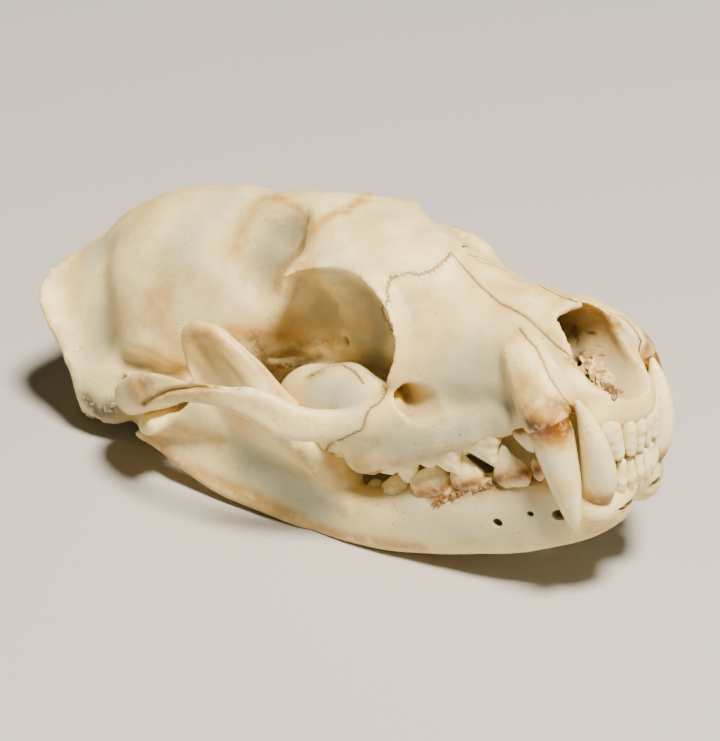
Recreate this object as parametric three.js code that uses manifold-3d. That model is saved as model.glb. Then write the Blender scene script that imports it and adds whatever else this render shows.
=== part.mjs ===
// A civet skull with its lower jaw closed, cleaned and dry, at life size in millimetres.
// Everything is shaped in the skull's own frame: the origin is the front of the upper jaw on the
// midline, +X is the animal's left, +Y runs back and +Z up. The group then tips the skull nose up
// and stands it on its lowest points, the way it lies on a table.

import * as THREE from 'three';
import { mergeVertices } from 'three/addons/utils/BufferGeometryUtils.js';
import Module from 'manifold-3d';

const wasm = await Module();
wasm.setup();

// Driving sizes of the whole
const NOSE_UP_DEG = 15.4;
const REST_HEIGHT = 30.1;
const GAP = 0.3;
const FACE_END = 58;

// Small working helpers

function signedVolume(points, faces) {
  const corner = (index) => new THREE.Vector3().fromArray(points, 3 * faces[index]);
  let sum = 0;
  for (let i = 0; i < faces.length; i += 3) {
    sum += corner(i).dot(corner(i + 1).cross(corner(i + 2)));
  }
  return sum;
}

// Merges the shared vertices, turns the faces outwards and makes the body ready for joining.
function solid(geometry) {
  const bare = geometry.clone();
  bare.deleteAttribute('normal');
  bare.deleteAttribute('uv');
  const merged = mergeVertices(bare);
  const points = new Float32Array(merged.attributes.position.array);
  const faces = new Uint32Array(merged.index.array);
  if (signedVolume(points, faces) < 0) {
    for (let i = 0; i < faces.length; i += 3) {
      [faces[i], faces[i + 1]] = [faces[i + 1], faces[i]];
    }
  }
  return new wasm.Manifold(new wasm.Mesh({ numProp: 3, vertProperties: points, triVerts: faces }));
}

const joined = (bodies) => bodies.reduce((all, one) => all.add(one));
const without = (body, cutters) => cutters.reduce((rest, cutter) => rest.subtract(cutter), body);

// Keeps only the largest closed surface, so that no scrap stays in a node.
const largest = (body) => body.decompose().sort((a, b) => b.volume() - a.volume())[0];

// Pieces are drawn on the animal's left, where X is positive, and copied to its right.
const onSide = (side, geometry) => solid(side > 0 ? geometry : geometry.clone().scale(-1, 1, 1));
const bothSides = (geometry) => [onSide(1, geometry), onSide(-1, geometry)];

// Body drawn through sections along a path. A row is x, y, z, half width, height above and below
// the path, and the roundness above and below it: 2 is an ellipse, less is a roof, more is a box.
function body(rows, { rings, around, endRound = 0.1, up = [0, 0, 1] }) {
  const keys = rows.map((row, index) => index);
  const track = new THREE.CubicInterpolant(keys, rows.flat(), rows[0].length);
  const shape = new THREE.SphereGeometry(1, around, rings + 1);
  const spot = shape.attributes.position;
  const upHint = new THREE.Vector3(...up);
  const last = rows.length - 1;
  const step = 1e-3;
  for (let ring = 0; ring <= rings + 1; ring += 1) {
    const t = (1 - Math.cos((Math.PI * ring) / (rings + 1))) / 2;
    const bunched = THREE.MathUtils.lerp(ring / (rings + 1), t, 0.5);
    const edge = Math.min(bunched, 1 - bunched) / endRound;
    const scale = edge >= 1 || ring === 0 ? Number(ring > 0) : Math.sqrt(1 - (1 - edge) ** 2);
    const key = bunched * last;
    const before = Array.from(track.evaluate(Math.max(0, key - step)));
    const after = Array.from(track.evaluate(Math.min(last, key + step)));
    const row = Array.from(track.evaluate(key));
    const [x, y, z, wide, high, low, crown, base] = row;
    const ahead = new THREE.Vector3(...after.slice(0, 3)).sub(new THREE.Vector3(...before.slice(0, 3)));
    const side = ahead.normalize().clone().cross(upHint).normalize();
    const top = side.clone().cross(ahead);
    for (let spoke = 0; spoke <= around; spoke += 1) {
      const turn = (2 * Math.PI * spoke) / around;
      const across = -Math.cos(turn);
      const lift = -Math.sin(turn);
      const power = 2 / (lift > 0 ? crown : base);
      const reach = wide * scale * Math.sign(across) * Math.abs(across) ** power;
      const rise = (lift > 0 ? high : low) * scale * Math.sign(lift) * Math.abs(lift) ** power;
      const point = new THREE.Vector3(x, y, z).addScaledVector(side, reach).addScaledVector(top, rise);
      spot.setXYZ(ring * (around + 1) + spoke, point.x, point.y, point.z);
    }
  }
  return shape;
}

// A row of body() from an upright slice of the skull: distance back, half width, top, bottom,
// height of the widest place, and roundness above and below it.
const slice = (y, half, top, bottom, widest, crown = 2, base = 2) => [
  0, y, widest, half, top - widest, widest - bottom, crown, base,
];

// A row of body() with an oval section.
const oval = (x, y, z, wide, high, round = 2) => [x, y, z, wide, high, high, round, round];

// Plate drawn from a centre out to a rim. A profile row is the share of the way to the rim and the
// offset along the plate's normal, from the front face round the edge to the back face.
function plate(rim, centre, normal, profile, around) {
  const outline = new THREE.CatmullRomCurve3(rim.map((point) => new THREE.Vector3(...point)), true);
  const middle = new THREE.Vector3(...centre);
  const facing = new THREE.Vector3(...normal).normalize();
  const shape = new THREE.SphereGeometry(1, around, profile.length - 1);
  const spot = shape.attributes.position;
  profile.forEach(([share, offset], ring) => {
    for (let spoke = 0; spoke <= around; spoke += 1) {
      const edge = outline.getPointAt((spoke % around) / around);
      const point = middle.clone().lerp(edge, share).addScaledVector(facing, offset);
      spot.setXYZ(ring * (around + 1) + spoke, point.x, point.y, point.z);
    }
  });
  return shape;
}

// Egg-shaped swelling, turned about X by the given angle.
function swelling([x, y, z], [wide, long, high], { around = 16, rings = 10, tilt = 0 } = {}) {
  const shape = new THREE.SphereGeometry(1, around, rings);
  shape.scale(wide, long, high);
  shape.rotateX(THREE.MathUtils.degToRad(tilt));
  return shape.translate(x, y, z);
}

// Block with its centre, sizes and a turn about each axis, for cutting.
function block([x, y, z], [wide, long, high], [turnX, turnY, turnZ] = [0, 0, 0]) {
  const shape = new THREE.BoxGeometry(wide, long, high);
  shape.rotateX(THREE.MathUtils.degToRad(turnX));
  shape.rotateY(THREE.MathUtils.degToRad(turnY));
  shape.rotateZ(THREE.MathUtils.degToRad(turnZ));
  return shape.translate(x, y, z);
}

// Braincase, forehead, snout and palate

const BRAINCASE = [
  slice(49, 7.2, 32, 8, 20),
  slice(55, 7.2, 33.4, 5, 20),
  slice(61, 9.2, 33.8, 3, 18),
  slice(67, 13, 33.6, 2, 16),
  slice(73, 15.8, 33.3, 1.4, 15),
  slice(79, 17, 32.8, 1, 14),
  slice(85, 17, 32.1, 1, 13.5),
  slice(91, 15.2, 30.9, 1.4, 13),
  slice(96.5, 12.2, 29, 2, 12.5),
  slice(101, 8.6, 27, 3.4, 12),
];

const FOREHEAD = [
  slice(22, 4.4, 21.8, 14, 17, 1.7),
  slice(26, 6.2, 23.2, 13, 17, 1.7, 1.8),
  slice(30, 8.2, 24.8, 12, 17.4, 1.7, 1.6),
  slice(34, 9.6, 27, 12, 18.8, 1.8, 1.4),
  slice(38, 10.5, 29.2, 12, 21.6, 1.8, 1.2),
  slice(42, 11, 31, 12, 23.8, 1.9, 1.2),
  slice(46, 10.8, 32.3, 12, 24.6, 1.9, 1.2),
  slice(50, 9.4, 33.2, 12, 24.6, 1.9, 1.4),
  slice(54, 7.6, 33.8, 12, 24, 2, 1.7),
  slice(60, 8, 34, 14, 22),
];

const SNOUT = [
  slice(1.4, 4.2, 4.6, 0.4, 2.2, 2.2, 2.2),
  slice(3.8, 5.8, 7.8, 0.6, 3.6, 1.9, 2.4),
  slice(6.6, 7.4, 13.2, 1.4, 5, 1.6, 2.4),
  slice(9.4, 8.8, 18.3, 3, 7, 1.45, 2.4),
  slice(13.5, 10.2, 19.5, 2.6, 8, 1.45, 2.4),
  slice(18, 10.8, 20.8, 2, 8.5, 1.5, 2.4),
  slice(23, 11.2, 22.4, 1.4, 8.5, 1.55, 2.2),
  slice(28, 12, 24, 0.4, 9, 1.65, 2.2),
  slice(33, 13.2, 25, -1, 9.5, 1.85, 2.2),
  slice(38.5, 14.2, 25.8, -2, 10, 2.2, 2.2),
];

const PALATE = [
  slice(8, 9.6, 8, 3.6, 5.4, 2.2, 4),
  slice(14, 11.4, 8, 2.4, 5, 2.2, 5),
  slice(20, 12.4, 7.4, 1.6, 4, 2.2, 5),
  slice(25, 14, 7, 0.3, 3, 2.2, 5),
  slice(30, 15.4, 7, -0.9, 2.4, 2.2, 5),
  slice(35, 16.6, 7.4, -2.4, 1.6, 2.2, 5),
  slice(40, 17, 7.8, -3.7, 0.8, 2.2, 5),
  slice(45, 15.8, 8, -4.9, 0, 2, 4),
  slice(49, 12.4, 8, -4.6, 0.4, 2, 3),
  slice(53, 8.6, 8, -3, 1.4, 2, 2),
];

// Thin wall between the orbits, and the bar of bone under the braincase behind the palate.
const ORBIT_WALL = [
  slice(30, 8.6, 24, 3, 12),
  slice(36, 8.4, 26, 2, 12),
  slice(43, 7.6, 28, 0, 12, 2.4),
  slice(50, 7, 29, -1, 12, 2.4),
  slice(58, 7.4, 29, 2, 13),
  slice(66, 9, 28, 2, 12),
];

// Side of the skull behind the jaw joint, round the ear and back to the crest.
const EAR_REGION = [
  slice(74, 13.6, 9, 1, 5, 2.4, 2),
  slice(80, 16.6, 11, 0.6, 5.4, 2.4, 2),
  slice(87, 17.6, 13, 0.4, 6, 2.4, 2),
  slice(94, 17.8, 15, 0, 6.4, 2.4, 2),
  slice(100, 17, 16, 0.6, 7, 2.2, 2),
];

const NUCHAL_CREST_SIDE = [
  [5, 104.2, 25.6],
  [10, 105.3, 25.3],
  [13.8, 105.6, 23.5],
  [17.2, 104.4, 20.7],
  [19.1, 101.8, 16.2],
  [19.6, 99.8, 11.6],
  [19.9, 98.6, 6.4],
  [19, 99.2, 2.6],
  [15.6, 101.6, -1],
  [8, 102.4, 0.6],
];
const NUCHAL_TOP = [0, 103.3, 25.7];
const NUCHAL_BOTTOM = [0, 101, 2.4];

function nuchalCrest() {
  const rightHalf = NUCHAL_CREST_SIDE.map(([x, y, z]) => [-x, y, z]).reverse();
  const rim = [NUCHAL_TOP, ...NUCHAL_CREST_SIDE, NUCHAL_BOTTOM, ...rightHalf];
  const profile = [
    [0, 12], [0.45, 8.4], [0.68, 4.8], [0.84, 2.4], [1, 0.6],
    [1, -0.6], [0.88, -0.9], [0.5, -0.4], [0, 0],
  ];
  return plate(rim, [0, 99.6, 12], [0, -1, 0], profile, 28);
}

// Pieces of the cranium that come in pairs

const POSTORBITAL = [
  oval(5, 44.6, 27.4, 5, 2.8),
  oval(9, 46.8, 26.6, 4.2, 2.2),
  oval(12.2, 49, 26, 2.8, 1.5),
  oval(14.4, 50.7, 25.5, 1.6, 1),
  oval(15.9, 51.8, 25, 0.5, 0.5),
];

const ORBIT_RIM = [
  oval(9.8, 41.4, 24.4, 1.6, 1.6),
  oval(11, 38, 22, 1.8, 1.8),
  oval(11.8, 36, 19, 2, 2),
  oval(12.8, 35.4, 15.6, 2, 2),
  oval(13.8, 35.8, 12.4, 2, 2),
  oval(15, 37, 9.4, 2, 2.2),
];

const ARCH = [
  oval(11.6, 31.6, 5, 2.6, 4.2, 2.2),
  oval(16, 36.6, 4.8, 2.6, 3.8, 2.2),
  oval(19.2, 40.6, 5, 2.2, 3, 2.4),
  oval(21.8, 44.2, 5.4, 1.7, 2.8, 2.4),
  oval(24.2, 48, 6.8, 1.5, 3.2, 2.4),
  oval(26.2, 51.4, 9.8, 1.4, 3.3, 2.4),
  oval(27.6, 56, 12, 1.3, 2.4, 2.4),
  oval(28.3, 61.5, 13.1, 1.3, 2.4, 2.4),
  oval(28.2, 67, 13, 1.4, 2.9, 2.4),
  oval(27.2, 72.5, 11.8, 1.5, 3.4, 2.4),
  oval(25.4, 78, 9.4, 1.7, 3.4, 2.4),
  oval(22.2, 83, 6.6, 2.6, 3, 2.4),
  oval(17, 86.4, 5.2, 3.4, 3, 2.4),
];

// Shelf of the temple bone that carries the jaw joint.
const JOINT_SHELF = [
  oval(12, 80, 5.4, 6, 2.8, 2.6),
  oval(17, 79.6, 5.8, 5.6, 2, 2.6),
  oval(22, 79, 6.6, 4.6, 1.7, 2.6),
  oval(26, 78, 8, 3, 1.6, 2.6),
];

const MASTOID = [
  oval(15.4, 95, 10, 3, 3),
  oval(16.8, 97, 4, 2.6, 2.8),
  oval(16.6, 98.6, -0.4, 1.8, 2),
  oval(16, 99.4, -2.4, 0.8, 0.9),
];

const PAROCCIPITAL = [
  oval(10.5, 99, 5, 3.2, 2.6),
  oval(12.4, 100.8, 1.6, 2.8, 2.2),
  oval(13.6, 102, -1.4, 2, 1.6),
  oval(14.3, 102.7, -3.4, 1.1, 0.9),
];

const PTERYGOID = [
  oval(6.2, 47, -1, 1.1, 3),
  oval(6.2, 53, 0, 1, 3.4),
  oval(6.2, 60, 1, 0.9, 3.4),
  oval(6.4, 66, 2, 0.8, 2.6),
  oval(6.6, 70, 2.4, 0.8, 1.6),
];

const BULLA = { at: [10.4, 85, -0.4], size: [5.9, 10.6, 6.2], tilt: -8 };
const CONDYLE = { at: [5.4, 102, 4.6], size: [4.2, 3.6, 3.6] };

// Openings in the cranium

const NASAL_OPENING = [
  oval(0, -2, 9.4, 4.9, 4.6, 2.4),
  oval(0, 3, 9.9, 5.1, 5.2, 2.4),
  oval(0, 7, 10.8, 5.3, 6.2, 2.2),
  oval(0, 12, 12, 4.9, 6.4, 2.2),
  oval(0, 18, 12.8, 4, 5.4, 2.2),
  oval(0, 24, 13.2, 2.8, 3.6, 2.2),
];

const INFRAORBITAL_CANAL = [
  oval(17, 27.6, 8.4, 1.9, 2.4),
  oval(15.4, 32, 7.9, 1.8, 2.3),
  oval(13, 36, 7.8, 1.8, 2.2),
  oval(11.4, 40, 8.2, 2.2, 2.4),
];

// Teeth. A cusp row is its place at the gum and its tip, and its half width and half length there.

const cusp = (x, y, z, tipX, tipY, tipZ, wide, long, blunt = 0.3) => [
  [x, y, z + Math.sign(z - tipZ) * 2.2, wide * 0.9, long * 0.9, long * 0.9, 2, 2],
  [x, y, z, wide, long, long, 2, 2],
  [
    THREE.MathUtils.lerp(x, tipX, 0.45), THREE.MathUtils.lerp(y, tipY, 0.45),
    THREE.MathUtils.lerp(z, tipZ, 0.45), wide * 0.92, long * 0.86, long * 0.86, 2, 2,
  ],
  [tipX, tipY, tipZ, wide * blunt, long * blunt, long * blunt, 2, 2],
];
const CUSP_MESH = { rings: 2, around: 6, endRound: 0.08, up: [0, 1, 0] };

const UPPER_CUSPS = [
  [11, 14.6, 2.8, 11.2, 14.8, 0.4, 0.9, 1.1],
  [11.4, 17.6, 2.2, 11.4, 17.6, -1.6, 1.2, 2.2],
  [12.6, 22.4, 1.4, 12.6, 22, -4.6, 1.6, 3],
  [14, 28.4, 0.2, 14.4, 28.2, -6.2, 1.9, 2.9],
  [14.6, 32.2, -0.8, 15, 32.4, -4.8, 1.7, 2.2],
  [12, 26.6, 0.6, 11.8, 26.6, -2.6, 1.8, 1.8],
  [15.4, 36.4, -2.4, 15.9, 36, -6.2, 1.9, 2.2],
  [15.4, 39.8, -3.2, 15.8, 39.8, -6.6, 1.8, 2],
  [12, 38, -2.8, 11.8, 38, -5.4, 2.4, 2.4],
  [15, 43.8, -4.6, 15.2, 43.8, -7.4, 2, 2],
  [12.2, 43.8, -4.4, 12, 43.8, -6.4, 1.8, 1.8],
];

const UPPER_INCISORS = [
  [1.3, 2, 1.4, 1.3, 1.5, -4, 1, 1.2, 0.7],
  [3.5, 2.4, 1.6, 3.5, 2.1, -4.2, 1.1, 1.3, 0.65],
  [5.8, 3.9, 2.4, 5.7, 3.2, -5, 1.5, 1.7, 0.4],
];

const LOWER_INCISORS = [
  [1, 3.6, -9, 1, 2.9, -4.8, 0.8, 1, 0.7],
  [2.7, 4, -9, 2.7, 3.2, -4.8, 0.9, 1, 0.7],
  [4.4, 4.8, -9, 4.5, 3.8, -4.8, 1.1, 1.2, 0.6],
];

const LOWER_CUSPS = [
  [10.4, 15, -4.4, 10.4, 14.8, -2.2, 0.9, 1.2],
  [11, 19.4, -5, 10.6, 19.6, -0.8, 1.3, 2.2],
  [12, 25.2, -6.4, 11.6, 25.4, -1.8, 1.5, 2.6],
  [13, 31, -7.6, 12.6, 30.6, -3.6, 1.6, 2.6],
  [13.2, 36, -8.6, 12.6, 35.6, -4.8, 2, 2.8],
  [11.6, 35, -8.4, 11, 35, -4.6, 1.6, 2],
  [13, 41, -9.6, 12.6, 41, -7, 1.8, 2.2],
  [12.8, 45.6, -10.2, 12.6, 45.6, -8, 1.6, 1.7],
];

const UPPER_CANINE = [
  [9.4, 14, 12, 1.4, 1.6, 1.6, 2, 2],
  [10, 12, 8, 2.1, 2.7, 2.7, 2, 2],
  [10.6, 10.4, 4, 2.3, 3, 3, 2, 2],
  [11.2, 9.6, 0, 2.1, 2.7, 2.7, 2, 2],
  [11.4, 9.4, -5, 1.7, 2.1, 2.1, 2, 2],
  [11.2, 9.6, -10, 1.1, 1.3, 1.3, 2, 2],
  [10.7, 10.2, -14.4, 0.3, 0.35, 0.35, 2, 2],
];

const LOWER_CANINE = [
  [5.6, 13, -15, 1.2, 1.6, 1.6, 2, 2],
  [6.2, 9.4, -12, 1.7, 2.3, 2.3, 2, 2],
  [7.2, 6.6, -7.6, 2, 2.5, 2.5, 2, 2],
  [8.2, 5.2, -2.6, 1.9, 2.2, 2.2, 2, 2],
  [9.1, 5.2, 2, 1.3, 1.5, 1.5, 2, 2],
  [9.6, 6.4, 5.7, 0.3, 0.35, 0.35, 2, 2],
];
const CANINE_MESH = { rings: 9, around: 10, endRound: 0.06, up: [0, 1, 0] };

const cusps = (side, rows) => rows.map((row) => onSide(side, body(cusp(...row), CUSP_MESH)));

// Cranium, modelled whole

const EYE_SOCKET = { at: [15.6, 45.6, 16], size: [9, 9.9, 9.8] };
const EAR_OPENING = { at: [18, 87.6, 5.6], size: [4.2, 2.1, 2.3] };
const FORAMEN_MAGNUM = { at: [0, 105, 8.4], size: [5.6, 10, 4.6] };
const UPPER_TEETH = [...UPPER_CUSPS, ...UPPER_INCISORS];

function craniumShell() {
  const parts = [
    solid(body(BRAINCASE, { rings: 13, around: 24, endRound: 0.12 })),
    solid(body(FOREHEAD, { rings: 9, around: 18, endRound: 0.02 })),
    solid(body(SNOUT, { rings: 11, around: 20, endRound: 0.03 })),
    solid(body(PALATE, { rings: 8, around: 16, endRound: 0.03 })),
    solid(body(ORBIT_WALL, { rings: 5, around: 14, endRound: 0.02 })),
    solid(body(EAR_REGION, { rings: 5, around: 20, endRound: 0.02 })),
    solid(nuchalCrest()),
    ...bothSides(body(POSTORBITAL, { rings: 5, around: 10, endRound: 0.05 })),
    ...bothSides(body(ORBIT_RIM, { rings: 6, around: 8, up: [1, 0, 0] })),
    ...bothSides(body(JOINT_SHELF, { rings: 5, around: 12 })),
    ...bothSides(body(ARCH, { rings: 20, around: 10, endRound: 0.02 })),
    ...bothSides(body(MASTOID, { rings: 4, around: 10, up: [0, 1, 0] })),
    ...bothSides(body(PAROCCIPITAL, { rings: 4, around: 10, up: [0, 1, 0] })),
    ...bothSides(body(PTERYGOID, { rings: 4, around: 8 })),
    ...bothSides(swelling(CONDYLE.at, CONDYLE.size, { around: 12, rings: 8 })),
  ];
  const openings = [
    solid(body(NASAL_OPENING, { rings: 7, around: 16, endRound: 0.05 })),
    ...bothSides(body(INFRAORBITAL_CANAL, { rings: 3, around: 10, endRound: 0.02 })),
    ...bothSides(swelling(EYE_SOCKET.at, EYE_SOCKET.size, { around: 18, rings: 12 })),
    ...bothSides(swelling(EAR_OPENING.at, EAR_OPENING.size, { around: 10, rings: 8 })),
    solid(swelling(FORAMEN_MAGNUM.at, FORAMEN_MAGNUM.size)),
  ];
  return joined([without(joined(parts), openings), ...[1, -1].flatMap((side) => cusps(side, UPPER_TEETH))]);
}

// Lower jaw

const JAW_BODY = [
  [2.4, 4.8, -9.8, 2, 2.6, 3, 2.4, 2],
  [4, 7, -10.8, 3, 3.8, 4.2, 2.4, 2],
  [5.9, 10, -11.4, 3.4, 5.2, 5.3, 2.4, 2],
  [8, 14.8, -11.7, 3.1, 6.6, 6.2, 2.4, 2],
  [10.1, 21, -12, 2.9, 6.6, 6.9, 2.4, 2],
  [11.6, 28, -12.6, 2.9, 6, 6.6, 2.4, 2],
  [13, 36, -13.2, 2.8, 5.4, 6.3, 2.4, 2],
  [14.6, 44, -13.2, 2.7, 4.6, 5.8, 2.4, 2],
  [16, 52, -11.6, 2.3, 5, 5.9, 2.4, 2],
  [17.2, 60, -9.2, 1.8, 5, 5.7, 2.4, 2],
  [18.2, 68, -6, 1.2, 3.6, 5, 2.4, 2],
];

const RAMUS_RIM = [
  [20, 68.4, 19.5],
  [20, 70.4, 17.4],
  [20.2, 70.2, 12],
  [20.4, 70.4, 8],
  [20.8, 74, 4.6],
  [21, 79, 3],
  [20.8, 82.6, 0.4],
  [19.6, 87.2, -1.2],
  [19.6, 82.6, -3.4],
  [19.2, 77, -7.4],
  [18.7, 71, -10.8],
  [17.8, 62, -13.6],
  [16.4, 54, -14],
  [15.6, 47, -10.4],
  [18, 51, -3],
  [19.8, 53.2, 5],
  [20, 57, 12.4],
  [20, 61, 17.6],
  [20, 65.4, 20],
];
const RAMUS_PROFILE = [
  [0, 0.2], [0.5, 0.5], [0.84, 1.2], [1, 0.5],
  [1, -0.5], [0.86, -1], [0.4, -1.1], [0, -1.1],
];

// Thick front border of the ramus, from the back of the tooth row up the coronoid.
const RAMUS_FRONT = [
  oval(14.4, 47, -10.4, 2, 2),
  oval(15.4, 49.4, -5.6, 2.8, 1.6),
  oval(17, 52.2, 0.4, 2.6, 1.4),
  oval(18.3, 54.8, 6, 2, 1.2),
  oval(19.3, 58.6, 13.4, 1.4, 1),
  oval(19.8, 63.4, 18.6, 1, 0.9),
];

// Where the two halves meet at the chin.
const SYMPHYSIS = { at: [1.6, 10, -11.4], size: [3.4, 7, 3.8], tilt: -27 };

const JAW_CONDYLE = [
  oval(16.4, 79.2, 2.4, 1.4, 1.3),
  oval(19, 79.2, 2.6, 2, 1.9),
  oval(22.6, 79, 2.8, 2.1, 2),
  oval(25.4, 78.6, 3.2, 1.4, 1.4),
];

const CONDYLE_MESH = { rings: 6, around: 10, endRound: 0.12 };

function lowerJaw(side) {
  const parts = [
    onSide(side, body(JAW_BODY, { rings: 13, around: 14, endRound: 0.06 })),
    onSide(side, plate(RAMUS_RIM, [18.6, 66, -1], [1, 0, 0], RAMUS_PROFILE, 26)),
    onSide(side, body(JAW_CONDYLE, CONDYLE_MESH)),
    onSide(side, body(RAMUS_FRONT, { rings: 6, around: 8, up: [0, 1, -1] })),
    onSide(side, swelling(SYMPHYSIS.at, SYMPHYSIS.size, { tilt: SYMPHYSIS.tilt })),
  ];
  const whole = joined([...parts, ...cusps(side, [...LOWER_CUSPS, ...LOWER_INCISORS])]);
  return whole.subtract(onSide(side, block([GAP / 2 - 20, 20, -10], [40, 60, 40])));
}

// Parting. A region takes its part out of the whole, and the rest keeps a thin gap to it.

const grown = (rows, by) => rows.map(([x, y, z, wide, high, low, ...round]) => [
  x, y, z, wide + by, high + by, low + by, ...round,
]);
const parted = (whole, region, regionWithGap) => [
  largest(whole.intersect(region)), whole.subtract(regionWithGap),
];

function partedBlock(whole, side, { at, size, turns }) {
  const region = (by) => onSide(side, block(at, size.map((length) => length + 2 * by), turns));
  return parted(whole, region(0), region(GAP));
}

// The roof of the nose, seen from above, and the slope that it lies at.
const NASAL_OUTLINE = [[1.4, 31], [5, 23], [6, 15.6], [6.6, 9], [6.6, 0]];
const NASAL_SLOPE_DEG = 17;
const NASAL_UNDERSIDE = 11.6;

function nasalRegion(by) {
  const left = NASAL_OUTLINE.map(([x, y]) => new THREE.Vector2(x + by, y + by));
  const right = NASAL_OUTLINE.map(([x, y]) => new THREE.Vector2(-x - by, y + by));
  const outline = new THREE.Shape([...left, ...right.reverse()]);
  const shape = new THREE.ExtrudeGeometry(outline, { depth: 20, bevelEnabled: false });
  shape.rotateX(THREE.MathUtils.degToRad(NASAL_SLOPE_DEG));
  return solid(shape.translate(0, 0, NASAL_UNDERSIDE - by));
}

// The bone that carries the upper incisors, in front of a sloping seam and of the canines.
const PREMAXILLA_BLOCKS = [
  { at: [0, -9.4, 14], size: [40, 30, 40], turns: [-31, 0, 0] },
  { at: [0, -8, -4], size: [40, 28, 22], turns: [0, 0, 0] },
];

function premaxillaRegion(by) {
  return joined(PREMAXILLA_BLOCKS.map(({ at, size, turns }) => {
    const grownSize = size.map((length) => length + 2 * by);
    return solid(block(at, grownSize, turns));
  }));
}

// Finishes

const FINISH = {
  bone: { color: 0xe2d6bd, roughness: 0.6 },
  bulla: { color: 0xe6dcc6, roughness: 0.55 },
  canine: { color: 0xeadfc2, roughness: 0.35 },
};

function node(name, finish, bodySolid) {
  const { vertProperties, triVerts } = bodySolid.getMesh();
  const geometry = new THREE.BufferGeometry();
  geometry.setAttribute('position', new THREE.BufferAttribute(new Float32Array(vertProperties), 3));
  geometry.setIndex(new THREE.BufferAttribute(new Uint32Array(triVerts), 1));
  geometry.computeVertexNormals();
  const material = new THREE.MeshStandardMaterial({ ...FINISH[finish], metalness: 0 });
  const mesh = new THREE.Mesh(geometry, material);
  mesh.name = name;
  return mesh;
}

// Everything below the surface that the skull lies on, in the skull's own frame.
function belowFloor() {
  const thick = 10;
  const tip = THREE.MathUtils.degToRad(NOSE_UP_DEG);
  const middle = new THREE.Vector3(0, FACE_END, -REST_HEIGHT - thick / 2);
  middle.applyAxisAngle(new THREE.Vector3(1, 0, 0), tip);
  return solid(block(middle.toArray(), [80, 160, thick], [NOSE_UP_DEG, 0, 0]));
}

// Whole skull

const SIDES = { left: 1, right: -1 };
const BRAINCASE_REGION = { at: [0, FACE_END + 50, 10], size: [80, 100, 80], turns: [0, 0, 0] };
const ARCH_REGION = { at: [26.2, 62, 8], size: [14, 60, 34], turns: [0, 0, -3.3] };

function build() {
  const skull = new THREE.Group();
  const floor = belowFloor();
  let rest = craniumShell().subtract(floor);
  for (const [name, side] of Object.entries(SIDES)) {
    const bulla = (by) => {
      const size = BULLA.size.map((length) => length + by);
      return onSide(side, swelling(BULLA.at, size, { tilt: BULLA.tilt }));
    };
    const upper = (by) => onSide(side, body(grown(UPPER_CANINE, by), CANINE_MESH));
    const lower = (by) => onSide(side, body(grown(LOWER_CANINE, by), CANINE_MESH));
    const condyle = (by) => onSide(side, body(grown(JAW_CONDYLE, by), CONDYLE_MESH));
    rest = without(rest, [bulla(GAP), upper(GAP), condyle(GAP)]);
    const [arch, inner] = partedBlock(rest, side, ARCH_REGION);
    const jaw = without(lowerJaw(side), [lower(GAP), floor]);
    rest = inner;
    skull.add(node(`zygomatic_arch_${name}`, 'bone', arch));
    skull.add(node(`auditory_bulla_${name}`, 'bulla', bulla(0)));
    skull.add(node(`upper_canine_${name}`, 'canine', upper(0)));
    skull.add(node(`mandible_${name}`, 'bone', largest(jaw)));
    skull.add(node(`lower_canine_${name}`, 'canine', lower(0)));
  }
  const [nasals, noNasals] = parted(rest, nasalRegion(0), nasalRegion(GAP));
  const [front, noFront] = parted(noNasals, premaxillaRegion(0), premaxillaRegion(GAP));
  const [braincase, face] = partedBlock(noFront, 1, BRAINCASE_REGION);
  skull.add(node('nasal_bones', 'bone', nasals));
  skull.add(node('premaxilla', 'bone', front));
  skull.add(node('braincase', 'bone', braincase));
  skull.add(node('face', 'bone', largest(face)));
  return skull;
}

const skull = build();
skull.rotation.x = THREE.MathUtils.degToRad(-NOSE_UP_DEG);
skull.position.z = REST_HEIGHT;
skull.updateMatrixWorld(true);
const extent = new THREE.Box3().setFromObject(skull, true);
skull.position.y = -(extent.min.y + extent.max.y) / 2;

export default skull;
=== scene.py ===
"""A civet skull with its lower jaw closed, dry and clean, lying on a pale table.

Every piece is shaped in the skull's own frame in millimetres: the origin is the front of the
upper jaw on the midline, +X is the animal's left, +Y runs back and +Z up. A finished piece is
then turned nose up, set on the table and brought to metres, all in its mesh.

Seams, ridges, stains and small holes are drawn as lines in the coordinates of a picture of 720 by
741, and found on the surface by looking along them from the camera's place. Other numbers are
millimetres.
"""

import logging
import math
from contextlib import contextmanager
from dataclasses import dataclass, field
from enum import Enum, IntEnum
from typing import Callable, Iterable, Iterator, Sequence

import bpy
import numpy as np
from mathutils import Matrix, Vector, noise
from mathutils.bvhtree import BVHTree


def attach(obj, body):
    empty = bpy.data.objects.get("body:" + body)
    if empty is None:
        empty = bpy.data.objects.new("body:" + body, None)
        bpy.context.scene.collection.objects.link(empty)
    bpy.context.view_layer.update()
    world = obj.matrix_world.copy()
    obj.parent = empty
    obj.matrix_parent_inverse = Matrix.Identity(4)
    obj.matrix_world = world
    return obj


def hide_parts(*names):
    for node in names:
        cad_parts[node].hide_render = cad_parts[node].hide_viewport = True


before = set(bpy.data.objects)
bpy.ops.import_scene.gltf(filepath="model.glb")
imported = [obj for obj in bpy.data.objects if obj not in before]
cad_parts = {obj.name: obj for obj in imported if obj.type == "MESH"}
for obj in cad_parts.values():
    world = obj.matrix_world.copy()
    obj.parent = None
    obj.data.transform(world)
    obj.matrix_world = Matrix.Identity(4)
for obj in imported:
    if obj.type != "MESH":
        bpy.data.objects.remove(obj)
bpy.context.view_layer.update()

logging.basicConfig(level=logging.INFO, format="%(message)s")
log = logging.getLogger("skull")

Point = tuple[float, float, float]
Pixel = tuple[float, float]
Row = tuple[float, ...]
Line = Sequence[Point]
Path = Sequence[Pixel]

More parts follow.
